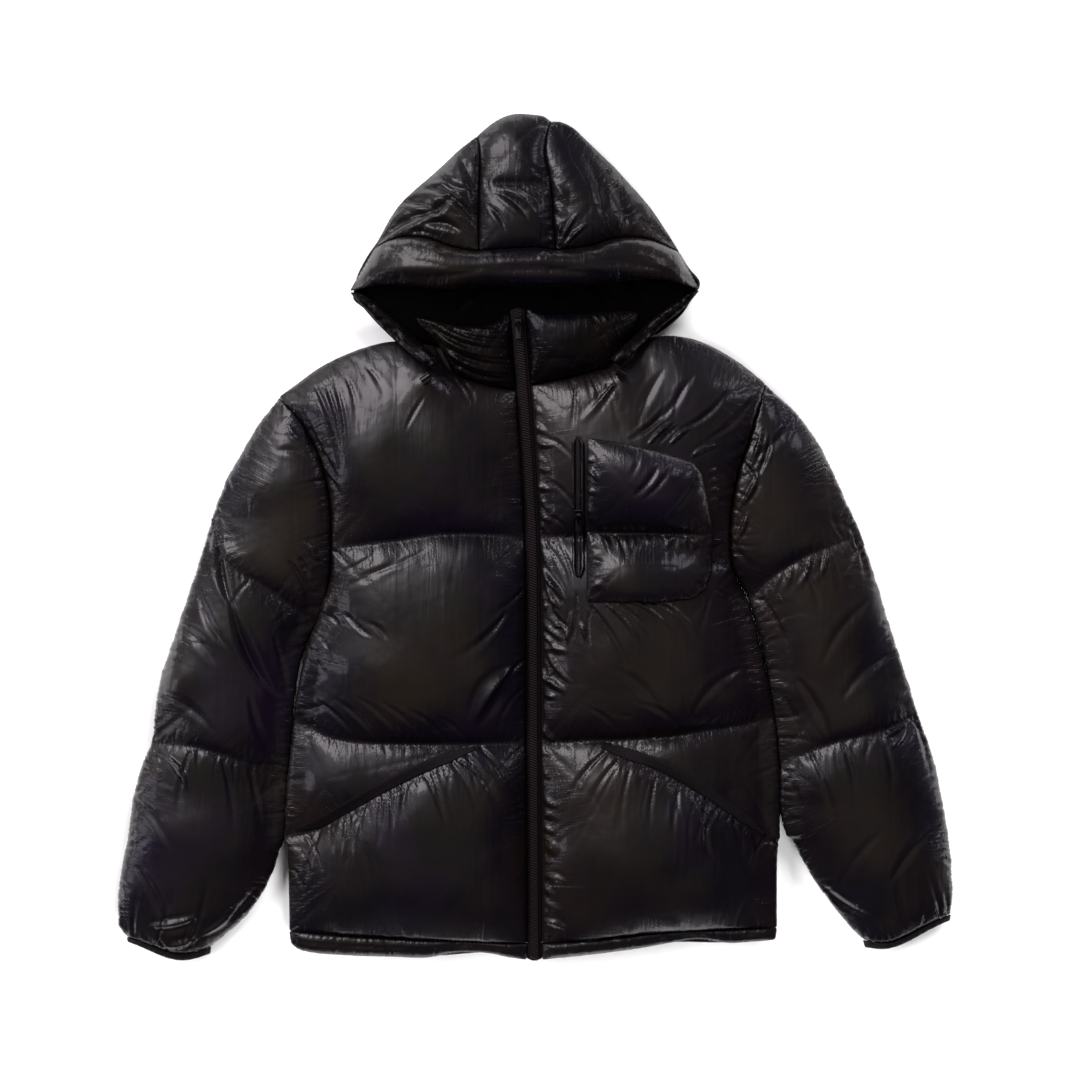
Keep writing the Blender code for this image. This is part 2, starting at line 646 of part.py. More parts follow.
def cuff_grid(half, sleeve):
    """The elastic binding that closes round the sleeve's end."""
    across = np.array(half["armhole_parts"])
    start = flat_line(shifted(sample(smooth(sleeve["quilts"][-1]), across), 0, -SEAM_GAP - 0.1))
    end = flat_line(sample(smooth(sleeve["cuff"]), across))
    ends = [np.linspace(start[k], end[k], len(DOWN_BAND)) for k in (0, -1)]
    grid = patch(start, end, *ends, across, DOWN_BAND)
    grid[:, :, 3] = CUFF_LEVEL + CUFF_RISE * dome(across)[None, :]
    grid[:, :, 2] = CUFF_LEVEL - CUFF_RISE * dome(across)[None, :]
    return grid


# Hood and collar


def hood_side(points):
    """An outline of the hood's top layer, sewn down to its underlayer."""
    return heights(smooth(points), SHUT_LOW, SEAM_Z + EDGE, SEAM_Z + EDGE)


def hood_seam(points):
    """A seam that climbs from the outline of the hood to its brim."""
    line = smooth(points)
    part = reach(line)
    low = SHUT_LOW + (HOLLOW_SEAM + SEAM_Z - SHUT_LOW) * part**0.7
    return np.column_stack([line[:, :2], low, low + EDGE + (HOOD_SEAM_RISE - EDGE) * part**0.5])


def brim_seams():
    """The seam between the hood and its brim, below the right, centre and left panels.

    It climbs from the outline to the middle panel, where it stands highest.
    """
    seams = []
    for points, climb in (
        (BRIM_SEAM_RIGHT, lambda part: part**0.6),
        (BRIM_SEAM_MID, np.ones_like),
        (BRIM_SEAM_LEFT, lambda part: (1 - part) ** 0.6),
    ):
        line = smooth(points)
        share = climb(reach(line))
        low = SHUT_LOW + (HOLLOW_SEAM + SEAM_Z - SHUT_LOW) * share
        line = np.column_stack([line[:, :2], low, low + EDGE + (HOOD_SEAM_RISE - EDGE) * share])
        seams.append(sample(line, ACROSS_SMALL))
    return seams


def hood_grids():
    """The three panels of the hood's top layer: wearer's right, centre and wearer's left."""
    seams = [sample(hood_seam(points), DOWN_BAFFLE) for points in (HOOD_SEAM_RIGHT, HOOD_SEAM_LEFT)]
    outlines = {name: hood_side(points) for name, points in HOOD_OUTLINE.items()}
    lows = outlines["right_low"][::-1], outlines["left_low"]
    sides = [sample(lows[0], DOWN_BAFFLE), *seams, sample(lows[1], DOWN_BAFFLE)]
    grids = []
    for i, name in enumerate(("right_high", "top", "left_high")):
        top = sample(outlines[name], ACROSS_SMALL)
        grid = patch(top, brim_seams()[i], sides[i], sides[i + 1], ACROSS_SMALL, DOWN_BAFFLE)
        grids.append(puffed(grid, ACROSS_SMALL, DOWN_BAFFLE, HOOD_PUFF))
    for grid, column, step in ((grids[0], -1, -1), (grids[1], 0, 1), (grids[1], -1, -1), (grids[2], 0, 1)):
        grid[:, column, 0] += step * SEAM_GAP / 2
    return grids


def brim_grid():
    """The padded roll across the front of the hood."""
    seam = shifted(join(*brim_seams()), 0, -SEAM_GAP - 0.1)
    across = reach(seam)
    edge = sample(smooth(BRIM_EDGE), across)
    low = SHUT_LOW + (HOLLOW_EDGE + SEAM_Z - SHUT_LOW) * dome(across, 2)
    edge = np.column_stack([edge, low, low + EDGE + BRIM_EDGE_RISE * dome(across, 2)])
    down = [0, 0.1, 0.3, 0.6, 0.85, 1]
    ends = [np.linspace(seam[k], edge[k], len(down)) for k in (0, -1)]
    return puffed(patch(seam, edge, *ends, across, down), across, down, BRIM_PUFF)


def hood_back_grid():
    """The hood's underlayer, whose inner side shows through the hood's mouth."""
    outline = HOOD_OUTLINE
    sides = [
        outline["right_low"][::-1] + [(-205, 309), HOOD_TIP_RIGHT, (-192, 262), HOOD_FOOT_RIGHT],
        outline["left_low"] + [(182, 311), HOOD_TIP_LEFT, (178, 267), HOOD_FOOT_LEFT],
    ]
    top = join(*[smooth(outline[name]) for name in ("right_high", "top", "left_high")])
    top_row = sample(top, ACROSS_BACK)
    shoulder_right, shoulder_left = RIGHT["shoulder"][-1], LEFT["shoulder"][-1]
    neck = np.array([HOOD_FOOT_RIGHT, (-140, 227), *np.linspace(shoulder_right, shoulder_left, 11),
                     (131, 232.5), HOOD_FOOT_LEFT])
    neck = shifted(neck, 0, SEAM_GAP + 0.2)
    down = [0, 0.04, 0.12, 0.3, 0.5, 0.7, 0.88, 0.96, 1]
    rows = [top_row, neck]
    for side, k in zip(sides, (0, -1)):
        line = sample(smooth(side), down)
        line[0], line[-1] = top_row[k], neck[k]
        rows.append(line)
    grid = patch(*[flat_line(row) for row in rows], ACROSS_BACK, down)
    at_sides = turned_up(np.array(ACROSS_BACK), 0.09)[None, :]
    at_ends = turned_up(np.array(down), 0.1)[:, None]
    grid[:, :, 2] = BACK_EDGE_Z * np.maximum(at_sides, at_ends)
    grid[:, [0, -1], 3] = SEAM_Z - SEAM_GAP / 2
    grid[0, :, 3] = SEAM_Z - SEAM_GAP / 2
    return grid


def hood_edge_grid(edge, panel):
    """One side of the hood's mouth, from the brim's tip down to the neck, lying over the shoulder."""
    across = [0, 0.1, 0.25, 0.4, 0.55, 0.7, 0.85, 0.95, 1]
    down = [0, 0.2, 0.5, 0.8, 1]
    lines = [sample(smooth(edge[name]), across) for name in ("outer", "inner")]
    rows = [shifted(flat_line(line), 0, -SEAM_GAP) for line in lines]
    ends = [np.linspace(rows[0][k], rows[1][k], len(down)) for k in (0, -1)]
    grid = patch(*rows, *ends, across, down)
    for column in range(len(across)):
        under = [height_on(panel, *place[:2], missing=0.0) for place in grid[:, column]]
        low = max(SHUT_LOW + SEAM_GAP, max(under) + HOOD_EDGE_CLEAR if max(under) else 0.0)
        grid[:, column, 2] = low
        grid[:, column, 3] = low + HOOD_EDGE_RISE * (0.45 + 0.55 * dome(down))
    grid[:, 0, 3] -= HOOD_EDGE_RISE * 0.3
    grid[:, -1, 3] -= HOOD_EDGE_RISE * 0.3
    return grid


def collar_grid(collar, half, side):
    """One half of the standing collar, from the neck seam to its top edge."""
    neck = to_zip(half["neck"], side, half["neck_zip_y"])
    neck = sample(heights(neck, FRONT_LOW, ZIP_EDGE_Z - 4, ZIP_EDGE_Z, 2), NECK_PARTS)[1:]
    top = to_zip(collar["top"], side, collar["top_zip_y"])
    top = sample(heights(top, FRONT_LOW, ZIP_EDGE_Z - 6, ZIP_EDGE_Z - 2, 5), ACROSS_COLLAR)
    outer = heights(smooth([tuple(neck[0, :2])] + collar["side"]), FRONT_LOW, neck[0, 3], top[0, 3])
    inner = zip_edge(side, half["neck_zip_y"], collar["top_zip_y"], FRONT_LOW, ZIP_EDGE_Z, ZIP_EDGE_Z - 2)
    ends = [sample(line[::-1], DOWN_BAFFLE) for line in (outer, inner)]
    grid = patch(top, neck, *ends, ACROSS_COLLAR, DOWN_BAFFLE)
    grid[:, :, 1] += 2 * SEAM_GAP
    return puffed(grid, ACROSS_COLLAR, DOWN_BAFFLE, COLLAR_PUFF)


# Zips, sliders and trims


def front_zip(tape):
    """The zip from the hem to the collar's top: two tapes and the closed chain between them."""
    half = [(ZIP_CHAIN_HALF, ZIP_CHAIN_Z), (ZIP_CHAIN_HALF + 0.4, ZIP_TAPE_THICK + 0.2),
            (ZIP_HALF, ZIP_TAPE_THICK), (ZIP_HALF, 0)]
    profile = [(-x, z) for x, z in half[::-1]] + half
    waist = RIGHT["waist_zip_y"]
    rows = []
    for y in np.linspace(ZIP_TOP_Y, ZIP_FOOT_Y, ZIP_ROWS):
        drop = ZIP_DROP * max(0.0, (waist - y) / (waist - ZIP_FOOT_Y))
        rows.append([(zip_x(y) + x, y, ZIP_TAPE_Z - drop + z) for x, z in profile])
    return strip("front_zip", rows, tape)


def box(name, size, centre, material_of):
    mesh = bmesh.new()
    bmesh.ops.create_cube(mesh, size=1, matrix=Matrix.Translation(centre) @ Matrix.Diagonal((*size, 1)))
    bmesh.ops.bevel(mesh, geom=mesh.edges[:], offset=min(size) * 0.2, segments=1, affect="EDGES")
    return mesh_object(name, mesh, material_of)


def rod(name, radius, length, centre, material_of, sides=16):
    """A round rod along X."""
    mesh = bmesh.new()
    turn = Matrix.Translation(centre) @ Matrix.Rotation(math.pi / 2, 4, "Y")
    bmesh.ops.create_cone(mesh, cap_ends=True, segments=sides, radius1=radius, radius2=radius, depth=length,
                          matrix=turn)
    return mesh_object(name, mesh, material_of)


def combine(body, tool, operation):
    """Joins the tool to the body, or cuts it out, and removes it."""
    change = body.modifiers.new(operation.lower(), "BOOLEAN")
    change.operation = operation
    change.object = tool
    with bpy.context.temp_override(object=body, active_object=body, selected_objects=[body]):
        bpy.ops.object.modifier_apply(modifier=change.name)
    bpy.data.objects.remove(tool)


def slider(name, metal):
    """A zip slider: a rounded body with two ears that hold a pin, the pin's axis along X at Z 0."""
    top = -(KNUCKLE_RADIUS + EAR_GAP)
    body = box(name, (SLIDER_WIDTH, SLIDER_LENGTH, SLIDER_HEIGHT), (0, -1.5, top - SLIDER_HEIGHT / 2), metal)
    ear_x = KNUCKLE_LENGTH / 2 + EAR_GAP + EAR_WIDTH / 2
    ear_height = PIN_RADIUS + 0.8 - top + 0.6
    for turn in (-1, 1):
        ear = box("ear", (EAR_WIDTH, 4.6, ear_height), (turn * ear_x, 0, top - 0.6 + ear_height / 2), metal)
        combine(body, ear, "UNION")
    combine(body, rod("pin", PIN_RADIUS, 2 * ear_x, (0, 0, 0), metal), "UNION")
    return body


def pull_tab(name, metal):
    """A pull tab hinged on the slider's pin, lying back along the zip towards -Y."""
    tab = rod(name, KNUCKLE_RADIUS, KNUCKLE_LENGTH, (0, 0, 0), metal)
    plate_z = -KNUCKLE_RADIUS + TAB_THICKNESS / 2 + 0.1
    neck_reach = SLIDER_LENGTH / 2 + 1
    plate_reach = TAB_LENGTH - neck_reach
    neck_size = (KNUCKLE_LENGTH, neck_reach, TAB_THICKNESS)
    plate_size = (TAB_WIDTH, plate_reach, TAB_THICKNESS)
    neck = box("neck", neck_size, (0, -neck_reach / 2 - BORE_RADIUS / 2, plate_z), metal)
    plate = box("plate", plate_size, (0, -neck_reach - plate_reach / 2, plate_z), metal)
    combine(tab, neck, "UNION")
    combine(tab, plate, "UNION")
    combine(tab, rod("bore", BORE_RADIUS, 3 * KNUCKLE_LENGTH, (0, 0, 0), metal), "DIFFERENCE")
    return tab


def placed(piece, x, y, z, tilt=0.0, turn=0.0):
    """Sets a piece modelled in millimetres round its own origin in its place on the jacket."""
    piece.location = in_frame(x, y, z)
    piece.rotation_euler = (tilt, 0, turn)
    piece.scale = (MM, MM, MM)
    return piece


def cord_lock(name, plastic):
    """A ribbed barrel that holds the hood's drawcord at the neck."""
    mesh = bmesh.new()
    half = [(0, 6.0), (3.2, 6.0), (4.4, 5.0), (LOCK_RADIUS, 2.5)]
    outline = half + [(LOCK_WAIST, 0)] + [(x, -y) for x, y in half[::-1]]
    verts = [mesh.verts.new((x, y, 0)) for x, y in outline]
    edges = [mesh.edges.new(pair) for pair in zip(verts, verts[1:])]
    bmesh.ops.spin(mesh, geom=verts + edges, axis=(0, 1, 0), cent=(0, 0, 0), steps=14, angle=2 * math.pi)
    bmesh.ops.remove_doubles(mesh, verts=mesh.verts, dist=1e-4)
    return mesh_object(name, mesh, plastic)


def welt_cells(line):
    """A flat band below a slanting pocket mouth, as a chain of four-sided cells."""
    cells = []
    for (ax, ay), (bx, by) in zip(line, line[1:]):
        cell = [(ax, ay), (bx, by), (bx, by + WELT_WIDTH), (ax, ay + WELT_WIDTH)]
        turning = (bx - ax) * WELT_WIDTH
        cells.append(cell if turning > 0 else cell[::-1])
    return cells


def slope_on(triangles, x, y):
    """How steeply the panel falls towards -Y, as an angle."""
    step = 8.0
    return math.atan2(height_on(triangles, x, y + step) - height_on(triangles, x, y - step), 2 * step)


# The jacket


def build():
    for old in list(bpy.data.objects):
        bpy.data.objects.remove(old)
    shell, tape, elastic = shell_nylon(), tape_polyester(), elastic_binding()
    metal, plastic = painted_zinc(), moulded_nylon()
    fronts = {}
    slab("back", back_grid(), shell)
    slab("hem_band_back", back_hem_grid(), shell)
    for word, half, sleeve, collar, edge, side in (
        ("right", RIGHT, RIGHT_SLEEVE, COLLAR_RIGHT, HOOD_EDGE_RIGHT, -1),
        ("left", LEFT, LEFT_SLEEVE, COLLAR_LEFT, HOOD_EDGE_LEFT, 1),
    ):
        fronts[word] = front_grid(half, side)
        slab(f"front_{word}", fronts[word], shell)
        slab(f"hem_band_{word}", hem_band_grid(half, side), shell)
        tube(f"sleeve_{word}", *sleeve_grid(half, sleeve, side), shell)
        tube(f"cuff_{word}", cuff_grid(half, sleeve), [CUFF_LEVEL] * len(DOWN_BAND), elastic)
        slab(f"collar_{word}", collar_grid(collar, half, side), shell)
        slab(f"hood_edge_{word}", hood_edge_grid(edge, upper_triangles(fronts[word])), shell)
    slab("hood_back", hood_back_grid(), shell)
    for word, grid in zip(("right", "centre", "left"), hood_grids()):
        slab(f"hood_{word}", grid, shell)
    slab("hood_brim", brim_grid(), shell)
    tops = {word: upper_triangles(grid) for word, grid in fronts.items()}
    laid_on("welt_right", tops["right"], welt_cells(WELT_RIGHT), 2.0, 2.6, 6, tape)
    laid_on("welt_left", tops["left"], welt_cells(WELT_LEFT), 2.0, 2.6, 6, tape)
    laid_on("chest_pocket", tops["left"], [POCKET_OUTLINE], 3.0, 17.0, 45, shell)
    laid_on("chest_zip", tops["left"], [CHEST_ZIP_OUTLINE], 2.2, CHEST_ZIP_THICK, 5, tape)
    laid_on("pocket_tab", tops["left"], [POCKET_TAB_OUTLINE], 1.4, 1.8, 4, tape)
    front_zip(tape)
    pin_above = SEAM_GAP + SLIDER_HEIGHT + KNUCKLE_RADIUS + EAR_GAP
    front_z = ZIP_TAPE_Z + ZIP_CHAIN_Z + pin_above
    chest_tilt = slope_on(tops["left"], CHEST_ZIP_X, CHEST_SLIDER_Y - 4)
    chest_z = height_on(tops["left"], CHEST_ZIP_X, CHEST_SLIDER_Y)
    chest_z += CHEST_ZIP_THICK + 2 * SEAM_GAP + pin_above
    for word, x, y, z, tilt in (
        ("front", zip_x(FRONT_SLIDER_Y), FRONT_SLIDER_Y, front_z, 0.0),
        ("chest", CHEST_ZIP_X, CHEST_SLIDER_Y, chest_z, chest_tilt),
    ):
        placed(slider(f"{word}_zip_slider", metal), x, y, z, tilt)
        placed(pull_tab(f"{word}_zip_pull", metal), x, y, z, tilt)
    for word, (x, y, turn) in CORD_LOCKS.items():
        along = Vector((-math.sin(math.radians(turn)), math.cos(math.radians(turn))))
        under = [height_on(tops[word], *(Vector((x, y)) + along * step)) for step in (-5, -2, 0, 2, 5)]
        z = max(under) + LOCK_RADIUS + CORD_LOCK_CLEAR
        placed(cord_lock(f"cord_lock_{word}", plastic), x, y, z, turn=math.radians(turn))


build()
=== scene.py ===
"""A hooded puffer jacket laid flat, zipped up, in glossy black nylon.

X runs to the wearer's left sleeve, Y up to the hood and Z out of the jacket's front, in metres.
Tables of places and sizes are in millimetres, in the same frame.
"""

import math

import bmesh
import bpy
import numpy as np
from mathutils import Matrix, Vector, kdtree
from mathutils.bvhtree import BVHTree
from mathutils.geometry import delaunay_2d_cdt, intersect_line_line_2d


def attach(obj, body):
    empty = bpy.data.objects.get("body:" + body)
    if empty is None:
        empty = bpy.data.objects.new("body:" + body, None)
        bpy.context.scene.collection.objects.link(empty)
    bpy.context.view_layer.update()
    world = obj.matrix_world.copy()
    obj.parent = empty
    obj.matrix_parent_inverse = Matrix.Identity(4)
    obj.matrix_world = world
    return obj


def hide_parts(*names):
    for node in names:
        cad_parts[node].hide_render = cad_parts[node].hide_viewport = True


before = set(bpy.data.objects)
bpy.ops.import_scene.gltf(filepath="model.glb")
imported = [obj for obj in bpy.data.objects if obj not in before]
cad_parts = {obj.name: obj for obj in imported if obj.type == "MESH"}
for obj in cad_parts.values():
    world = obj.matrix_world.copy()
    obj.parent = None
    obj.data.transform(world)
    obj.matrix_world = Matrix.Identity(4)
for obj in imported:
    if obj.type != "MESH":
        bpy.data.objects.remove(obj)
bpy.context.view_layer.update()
MM = 0.001

# Camera: straight above the jacket and far off, so that it looks almost flat. The picture's square
# takes in FIELD from side to side at the height of the jacket's seams.
FIELD = 1252.8 * MM
CAMERA_HEIGHT = 6.0
SEAM_LEVEL = 30 * MM
PICTURE_MIDDLE = (5.63 * MM, -3.06 * MM)
camera_data = bpy.data.cameras.new("camera")
camera_data.lens = camera_data.sensor_width * (CAMERA_HEIGHT - SEAM_LEVEL) / FIELD
camera = bpy.data.objects.new("camera", camera_data)
bpy.context.scene.collection.objects.link(camera)
camera.location = (*PICTURE_MIDDLE, CAMERA_HEIGHT)
bpy.context.scene.camera = camera

# Studio: a pale seamless floor and soft boxes. The main one stands beyond the wearer's right
# shoulder, low enough to glance off the puffed cloth, with weaker ones round it. The studio's
# ceiling is dim and warm. The floor has lamps of its own, so that it stays white without glare.
FLOOR_SIZE = 14.0
SOFT_BOXES = [  # place, width, height, power, colour
    ((-1.5, 2.0, 2.1), 1.5, 1.5, 34, "#fff6fc"),
    ((-2.5, -0.1, 1.1), 0.5, 1.3, 4, "#f4eeff"),
    ((1.9, 1.7, 1.5), 0.5, 0.9, 4, "#f4eeff"),
]
FLOOR_LAMPS = [30, 150, 270]  # their bearings in degrees
LAMP_POWER = 2.2
LAMP_TILT = 42  # degrees from straight down
LAMP_SOFTNESS = 25  # degrees across each lamp's disc
HORIZON, CEILING = "#372c44", "#766d66"
HALO = (0.7, 0.68, 0.73, 1.0)  # the lit wall behind the main soft box, linear
HALO_EDGE = 0.79  # the cosine of its angle from the soft box


def to_linear(colour):
    """The linear colour of an sRGB hex value."""
    parts = [int(colour[i : i + 2], 16) / 255 for i in (1, 3, 5)]
    return [c / 12.92 if c <= 0.04045 else ((c + 0.055) / 1.055) ** 2.4 for c in parts] + [1.0]


def node(tree, kind, inputs=None, **settings):
    """Adds a shader node. inputs are its linked inputs or their values; settings are properties or values."""
    made = tree.nodes.new(kind)
    for name, value in settings.items():
        if hasattr(made, name):
            setattr(made, name, value)
        else:
            made.inputs[name.replace("_", " ")].default_value = value
    for name, value in (inputs or {}).items():
        if isinstance(value, bpy.types.NodeSocket):
            tree.links.new(value, made.inputs[name])
        else:
            made.inputs[name].default_value = value
    return made


def new_material(name):
    """A new material, its node tree and its shader."""
    made = bpy.data.materials.new(name)
    made.use_nodes = True
    tree = made.node_tree
    return made, tree, tree.nodes["Principled BSDF"]


bpy.ops.object.select_all(action="DESELECT")
bpy.ops.mesh.primitive_plane_add(size=FLOOR_SIZE, location=(0, 0, -0.0005))
floor = bpy.context.object
floor.name = "floor"
# Painted board: an even, dull white.
board, tree, shader = new_material("matt white board")
grain = node(tree, "ShaderNodeTexNoise", Scale=3.0, Detail=2.0)
shade = node(tree, "ShaderNodeMix", {"Factor": grain.outputs["Fac"]}, data_type="RGBA",
             A=to_linear("#f7f7f7"), B=to_linear("#fbfbfb"))
tree.links.new(shade.outputs["Result"], shader.inputs["Base Color"])
shader.inputs["Roughness"].default_value = 0.95
shader.inputs["Specular IOR Level"].default_value = 0.1
floor.data.materials.append(board)

for place, width, height, power, colour in SOFT_BOXES:
    light_data = bpy.data.lights.new("soft box", "AREA")
    light_data.shape = "RECTANGLE"
    light_data.size = width
    light_data.size_y = height
    light_data.energy = power
    light_data.color = to_linear(colour)[:3]
    light = bpy.data.objects.new("soft box", light_data)
    light.visible_camera = False
    bpy.context.scene.collection.objects.link(light)
    light.location = place
    light.rotation_mode = "QUATERNION"
    light.rotation_quaternion = (-Vector(place)).to_track_quat("-Z", "Y")
lit_by_lamps = bpy.data.collections.new("lit by the floor lamps")
lit_by_lamps.objects.link(floor)
for bearing in FLOOR_LAMPS:
    lamp_data = bpy.data.lights.new("floor lamp", "SUN")
    lamp_data.energy = LAMP_POWER
    lamp_data.angle = math.radians(LAMP_SOFTNESS)
    lamp = bpy.data.objects.new("floor lamp", lamp_data)
    bpy.context.scene.collection.objects.link(lamp)
    lamp.rotation_euler = (math.radians(LAMP_TILT), 0, math.radians(bearing))
    lamp.light_linking.receiver_collection = lit_by_lamps
world = bpy.data.worlds.new("studio")
bpy.context.scene.world = world
world.use_nodes = True
sky = world.node_tree
upward = node(sky, "ShaderNodeTexCoord").outputs["Generated"]
height = node(sky, "ShaderNodeSeparateXYZ", {"Vector": upward}).outputs["Z"]
ceiling = node(sky, "ShaderNodeMapRange", {"Value": height}, From_Min=0.7, From_Max=1.0,
               interpolation_type="SMOOTHSTEP")
glow = node(sky, "ShaderNodeMix", {"Factor": ceiling.outputs["Result"]}, data_type="RGBA",
            A=to_linear(HORIZON), B=to_linear(CEILING))
# The wall behind the main soft box glows with it, which gives the broad soft sheen.
main_box = Vector(SOFT_BOXES[0][0]).normalized()
toward = node(sky, "ShaderNodeVectorMath", {0: upward, 1: main_box}, operation="DOT_PRODUCT")
halo = node(sky, "ShaderNodeMapRange", {"Value": toward.outputs["Value"]}, From_Min=HALO_EDGE,
            From_Max=1.0, interpolation_type="SMOOTHSTEP")
lit = node(sky, "ShaderNodeMix", {"Factor": halo.outputs["Result"], "A": glow.outputs["Result"]},
           data_type="RGBA", B=HALO)
# Beyond the floor's far edge the camera itself sees a white wall.
to_camera = node(sky, "ShaderNodeLightPath").outputs["Is Camera Ray"]
seen = node(sky, "ShaderNodeMix", {"Factor": to_camera, "A": lit.outputs["Result"]}, data_type="RGBA",
            B=(1.0, 1.0, 1.0, 1.0))
sky.links.new(seen.outputs["Result"], sky.nodes["Background"].inputs["Color"])
bpy.context.scene.view_settings.view_transform = "Standard"

# Fronts: the two padded halves on either side of the zip. Each is glossy nylon over down, quilted
# across at the chest, the waist and the hem casing, so that it stands up in three wide baffles. The
# mouth of a hand pocket is sewn slantwise across the lowest one.
STEP = 4.8 * MM
CORNER = 38  # a turn in an outline sharper than this, in degrees, is kept as a corner
MEETING = 0.4 * MM  # how far each outline grows, so that cloth meets cloth at the seams
FRONT_PUFF = 37 * MM  # how far the filling lifts the middle of a baffle above its seams
BELLY = 9 * MM  # how far a body side or underarm bulges out past its seam
BELLY_REACH = 17 * MM
RIPPLE_REACH = 30 * MM  # how far the fine ripples of the material run off a seam
RIPPLE_LEAN = 38  # how far they may lean over, in degrees
RIPPLE_CHANGE = 35 * MM  # how far apart along a seam their lean and reach change
SPARE_REACH = 40 * MM  # how far the spare cloth lies beside a seam
LUMP_SIZE = 55 * MM  # the largest swells of uneven filling
SETTLING = 8  # frames for the blown-up skin to settle
FARTHEST = 12 * MM  # how far settling may move the skin
SMOOTHING = 3  # rounds that take out the smallest crumples
LEAST_WALL = 0.3 * MM  # where a panel is thinner at its rim, its two sides are sewn together
TAFFETA = {  # how the shell behaves in Blender's cloth: light, hardly stretching, limp
    "quality": 4, "mass": 0.02, "tension_stiffness": 15, "compression_stiffness": 15,
    "shear_stiffness": 5, "bending_stiffness": 2, "tension_damping": 1, "compression_damping": 1,
    "shear_damping": 1, "shrink_min": 0.0, "use_pressure": True, "uniform_pressure_force": 8.0,
}
FRONT_SEAMS = {  # x, y, z of the chest seam, the waist seam and the pocket's mouth
    "right": [
        [(-236, -12, 50), (-204, -9, 53), (-162, -4, 54), (-97, 4, 53), (-11, 0, 47)],
        [(-275, -209, 34), (-238, -231, 46), (-180, -238, 55), (-87, -239, 56), (-10, -237, 47)],
        [(-68, -243, 60), (-120, -267, 67), (-174, -293, 66), (-220, -319, 55), (-252, -338, 43),
         (-286, -348, 34)],
    ],
    "left": [
        [(229, -38, 50), (149, -5, 54), (69, 0, 53), (6, 1, 47)],
        [(274, -207, 34), (240, -216, 46), (191, -224, 55), (133, -232, 57), (7, -237, 47)],
        [(76, -238, 60), (140, -268, 67), (193, -297, 66), (242, -331, 54), (270, -354, 40)],
    ],
}
# Gathers: x, y of the stretch of seam that they leave, their headings at its two ends in degrees,
# how much these vary, the space between two, and the length and depth of a large one. A negative
# depth makes puckers that stand up instead.
FRONT_GATHERS = {
    "right": [
        (-112, 222, -62, 178, 250, 270, 15, 8, 30, 1.2),
        (-290, 165, -130, 225, 300, 270, 15, 16, 45, 1.0),
        (-292, 160, -236, 20, 330, 20, 22, 14, 36, 1.4),
        (-234, -8, -60, 4, 75, 100, 25, 12, 22, 1.1),
        (-234, -16, -60, -2, 262, 285, 25, 16, 34, 0.9),
        (-60, 1, -14, 1, 250, 240, 30, 6, 22, 1.4),
        (-238, -60, -270, -200, 330, 20, 25, 14, 44, 1.4),
        (-272, -205, -20, -236, 140, 100, 30, 9, 30, 1.5),
        (-272, -214, -20, -240, 300, 262, 22, 7, 17, 1.6),
        (-278, -235, -284, -340, 340, 10, 20, 15, 36, 1.1),
        (-72, -246, -250, -338, 300, 262, 10, 8.5, 72, 3.2),
        (-90, -262, -240, -336, 295, 262, 8, 12, 130, 0.8),
        (-72, -240, -250, -330, 120, 150, 20, 12, 18, 0.9),
        (-286, -356, -284, -445, 20, 350, 24, 15, 34, 1.4),
        (-280, -456, -14, -468, 75, 110, 16, 12, 60, 0.9),
    ],
    "left": [
        (-4, 170, 5, 10, 305, 318, 12, 11, 22, -4),
        (5, -4, 6, -60, 312, 300, 14, 9, 40, -4.5),
        (6, -60, 7, -228, 325, 315, 14, 12, 30, -4),
        (7, -245, 8, -460, 315, 330, 14, 13, 26, -3.2),
        (38, 184, 108, 228, 280, 300, 15, 9, 40, 1.5),
        (115, 232, 262, 182, 270, 235, 15, 12, 50, 1.5),
        (264, 178, 228, 20, 200, 170, 22, 9, 46, 2.2),
        (228, 10, 230, -34, 190, 170, 20, 9, 26, 1.5),
        (10, 3, 66, 2, 80, 100, 30, 7, 16, 1.5),
        (10, -2, 66, -2, 290, 250, 30, 7, 24, 1.8),
        (232, -50, 268, -198, 190, 160, 25, 9, 44, 2.0),
        (268, -204, 20, -236, 40, 95, 28, 9, 34, 1.5),
        (268, -212, 20, -240, 250, 285, 22, 7, 17, 1.6),
        (275, -235, 281, -340, 200, 170, 20, 10, 36, 1.7),
        (78, -243, 268, -350, 242, 282, 10, 8.5, 72, 3.2),
        (90, -258, 250, -340, 245, 282, 8, 12, 130, 0.8),
        (78, -238, 268, -342, 60, 30, 20, 12, 18, 0.9),
        (282, -365, 281, -440, 160, 190, 24, 10, 34, 2.0),
        (276, -450, 14, -468, 105, 70, 16, 12, 60, 0.9),
    ],
}
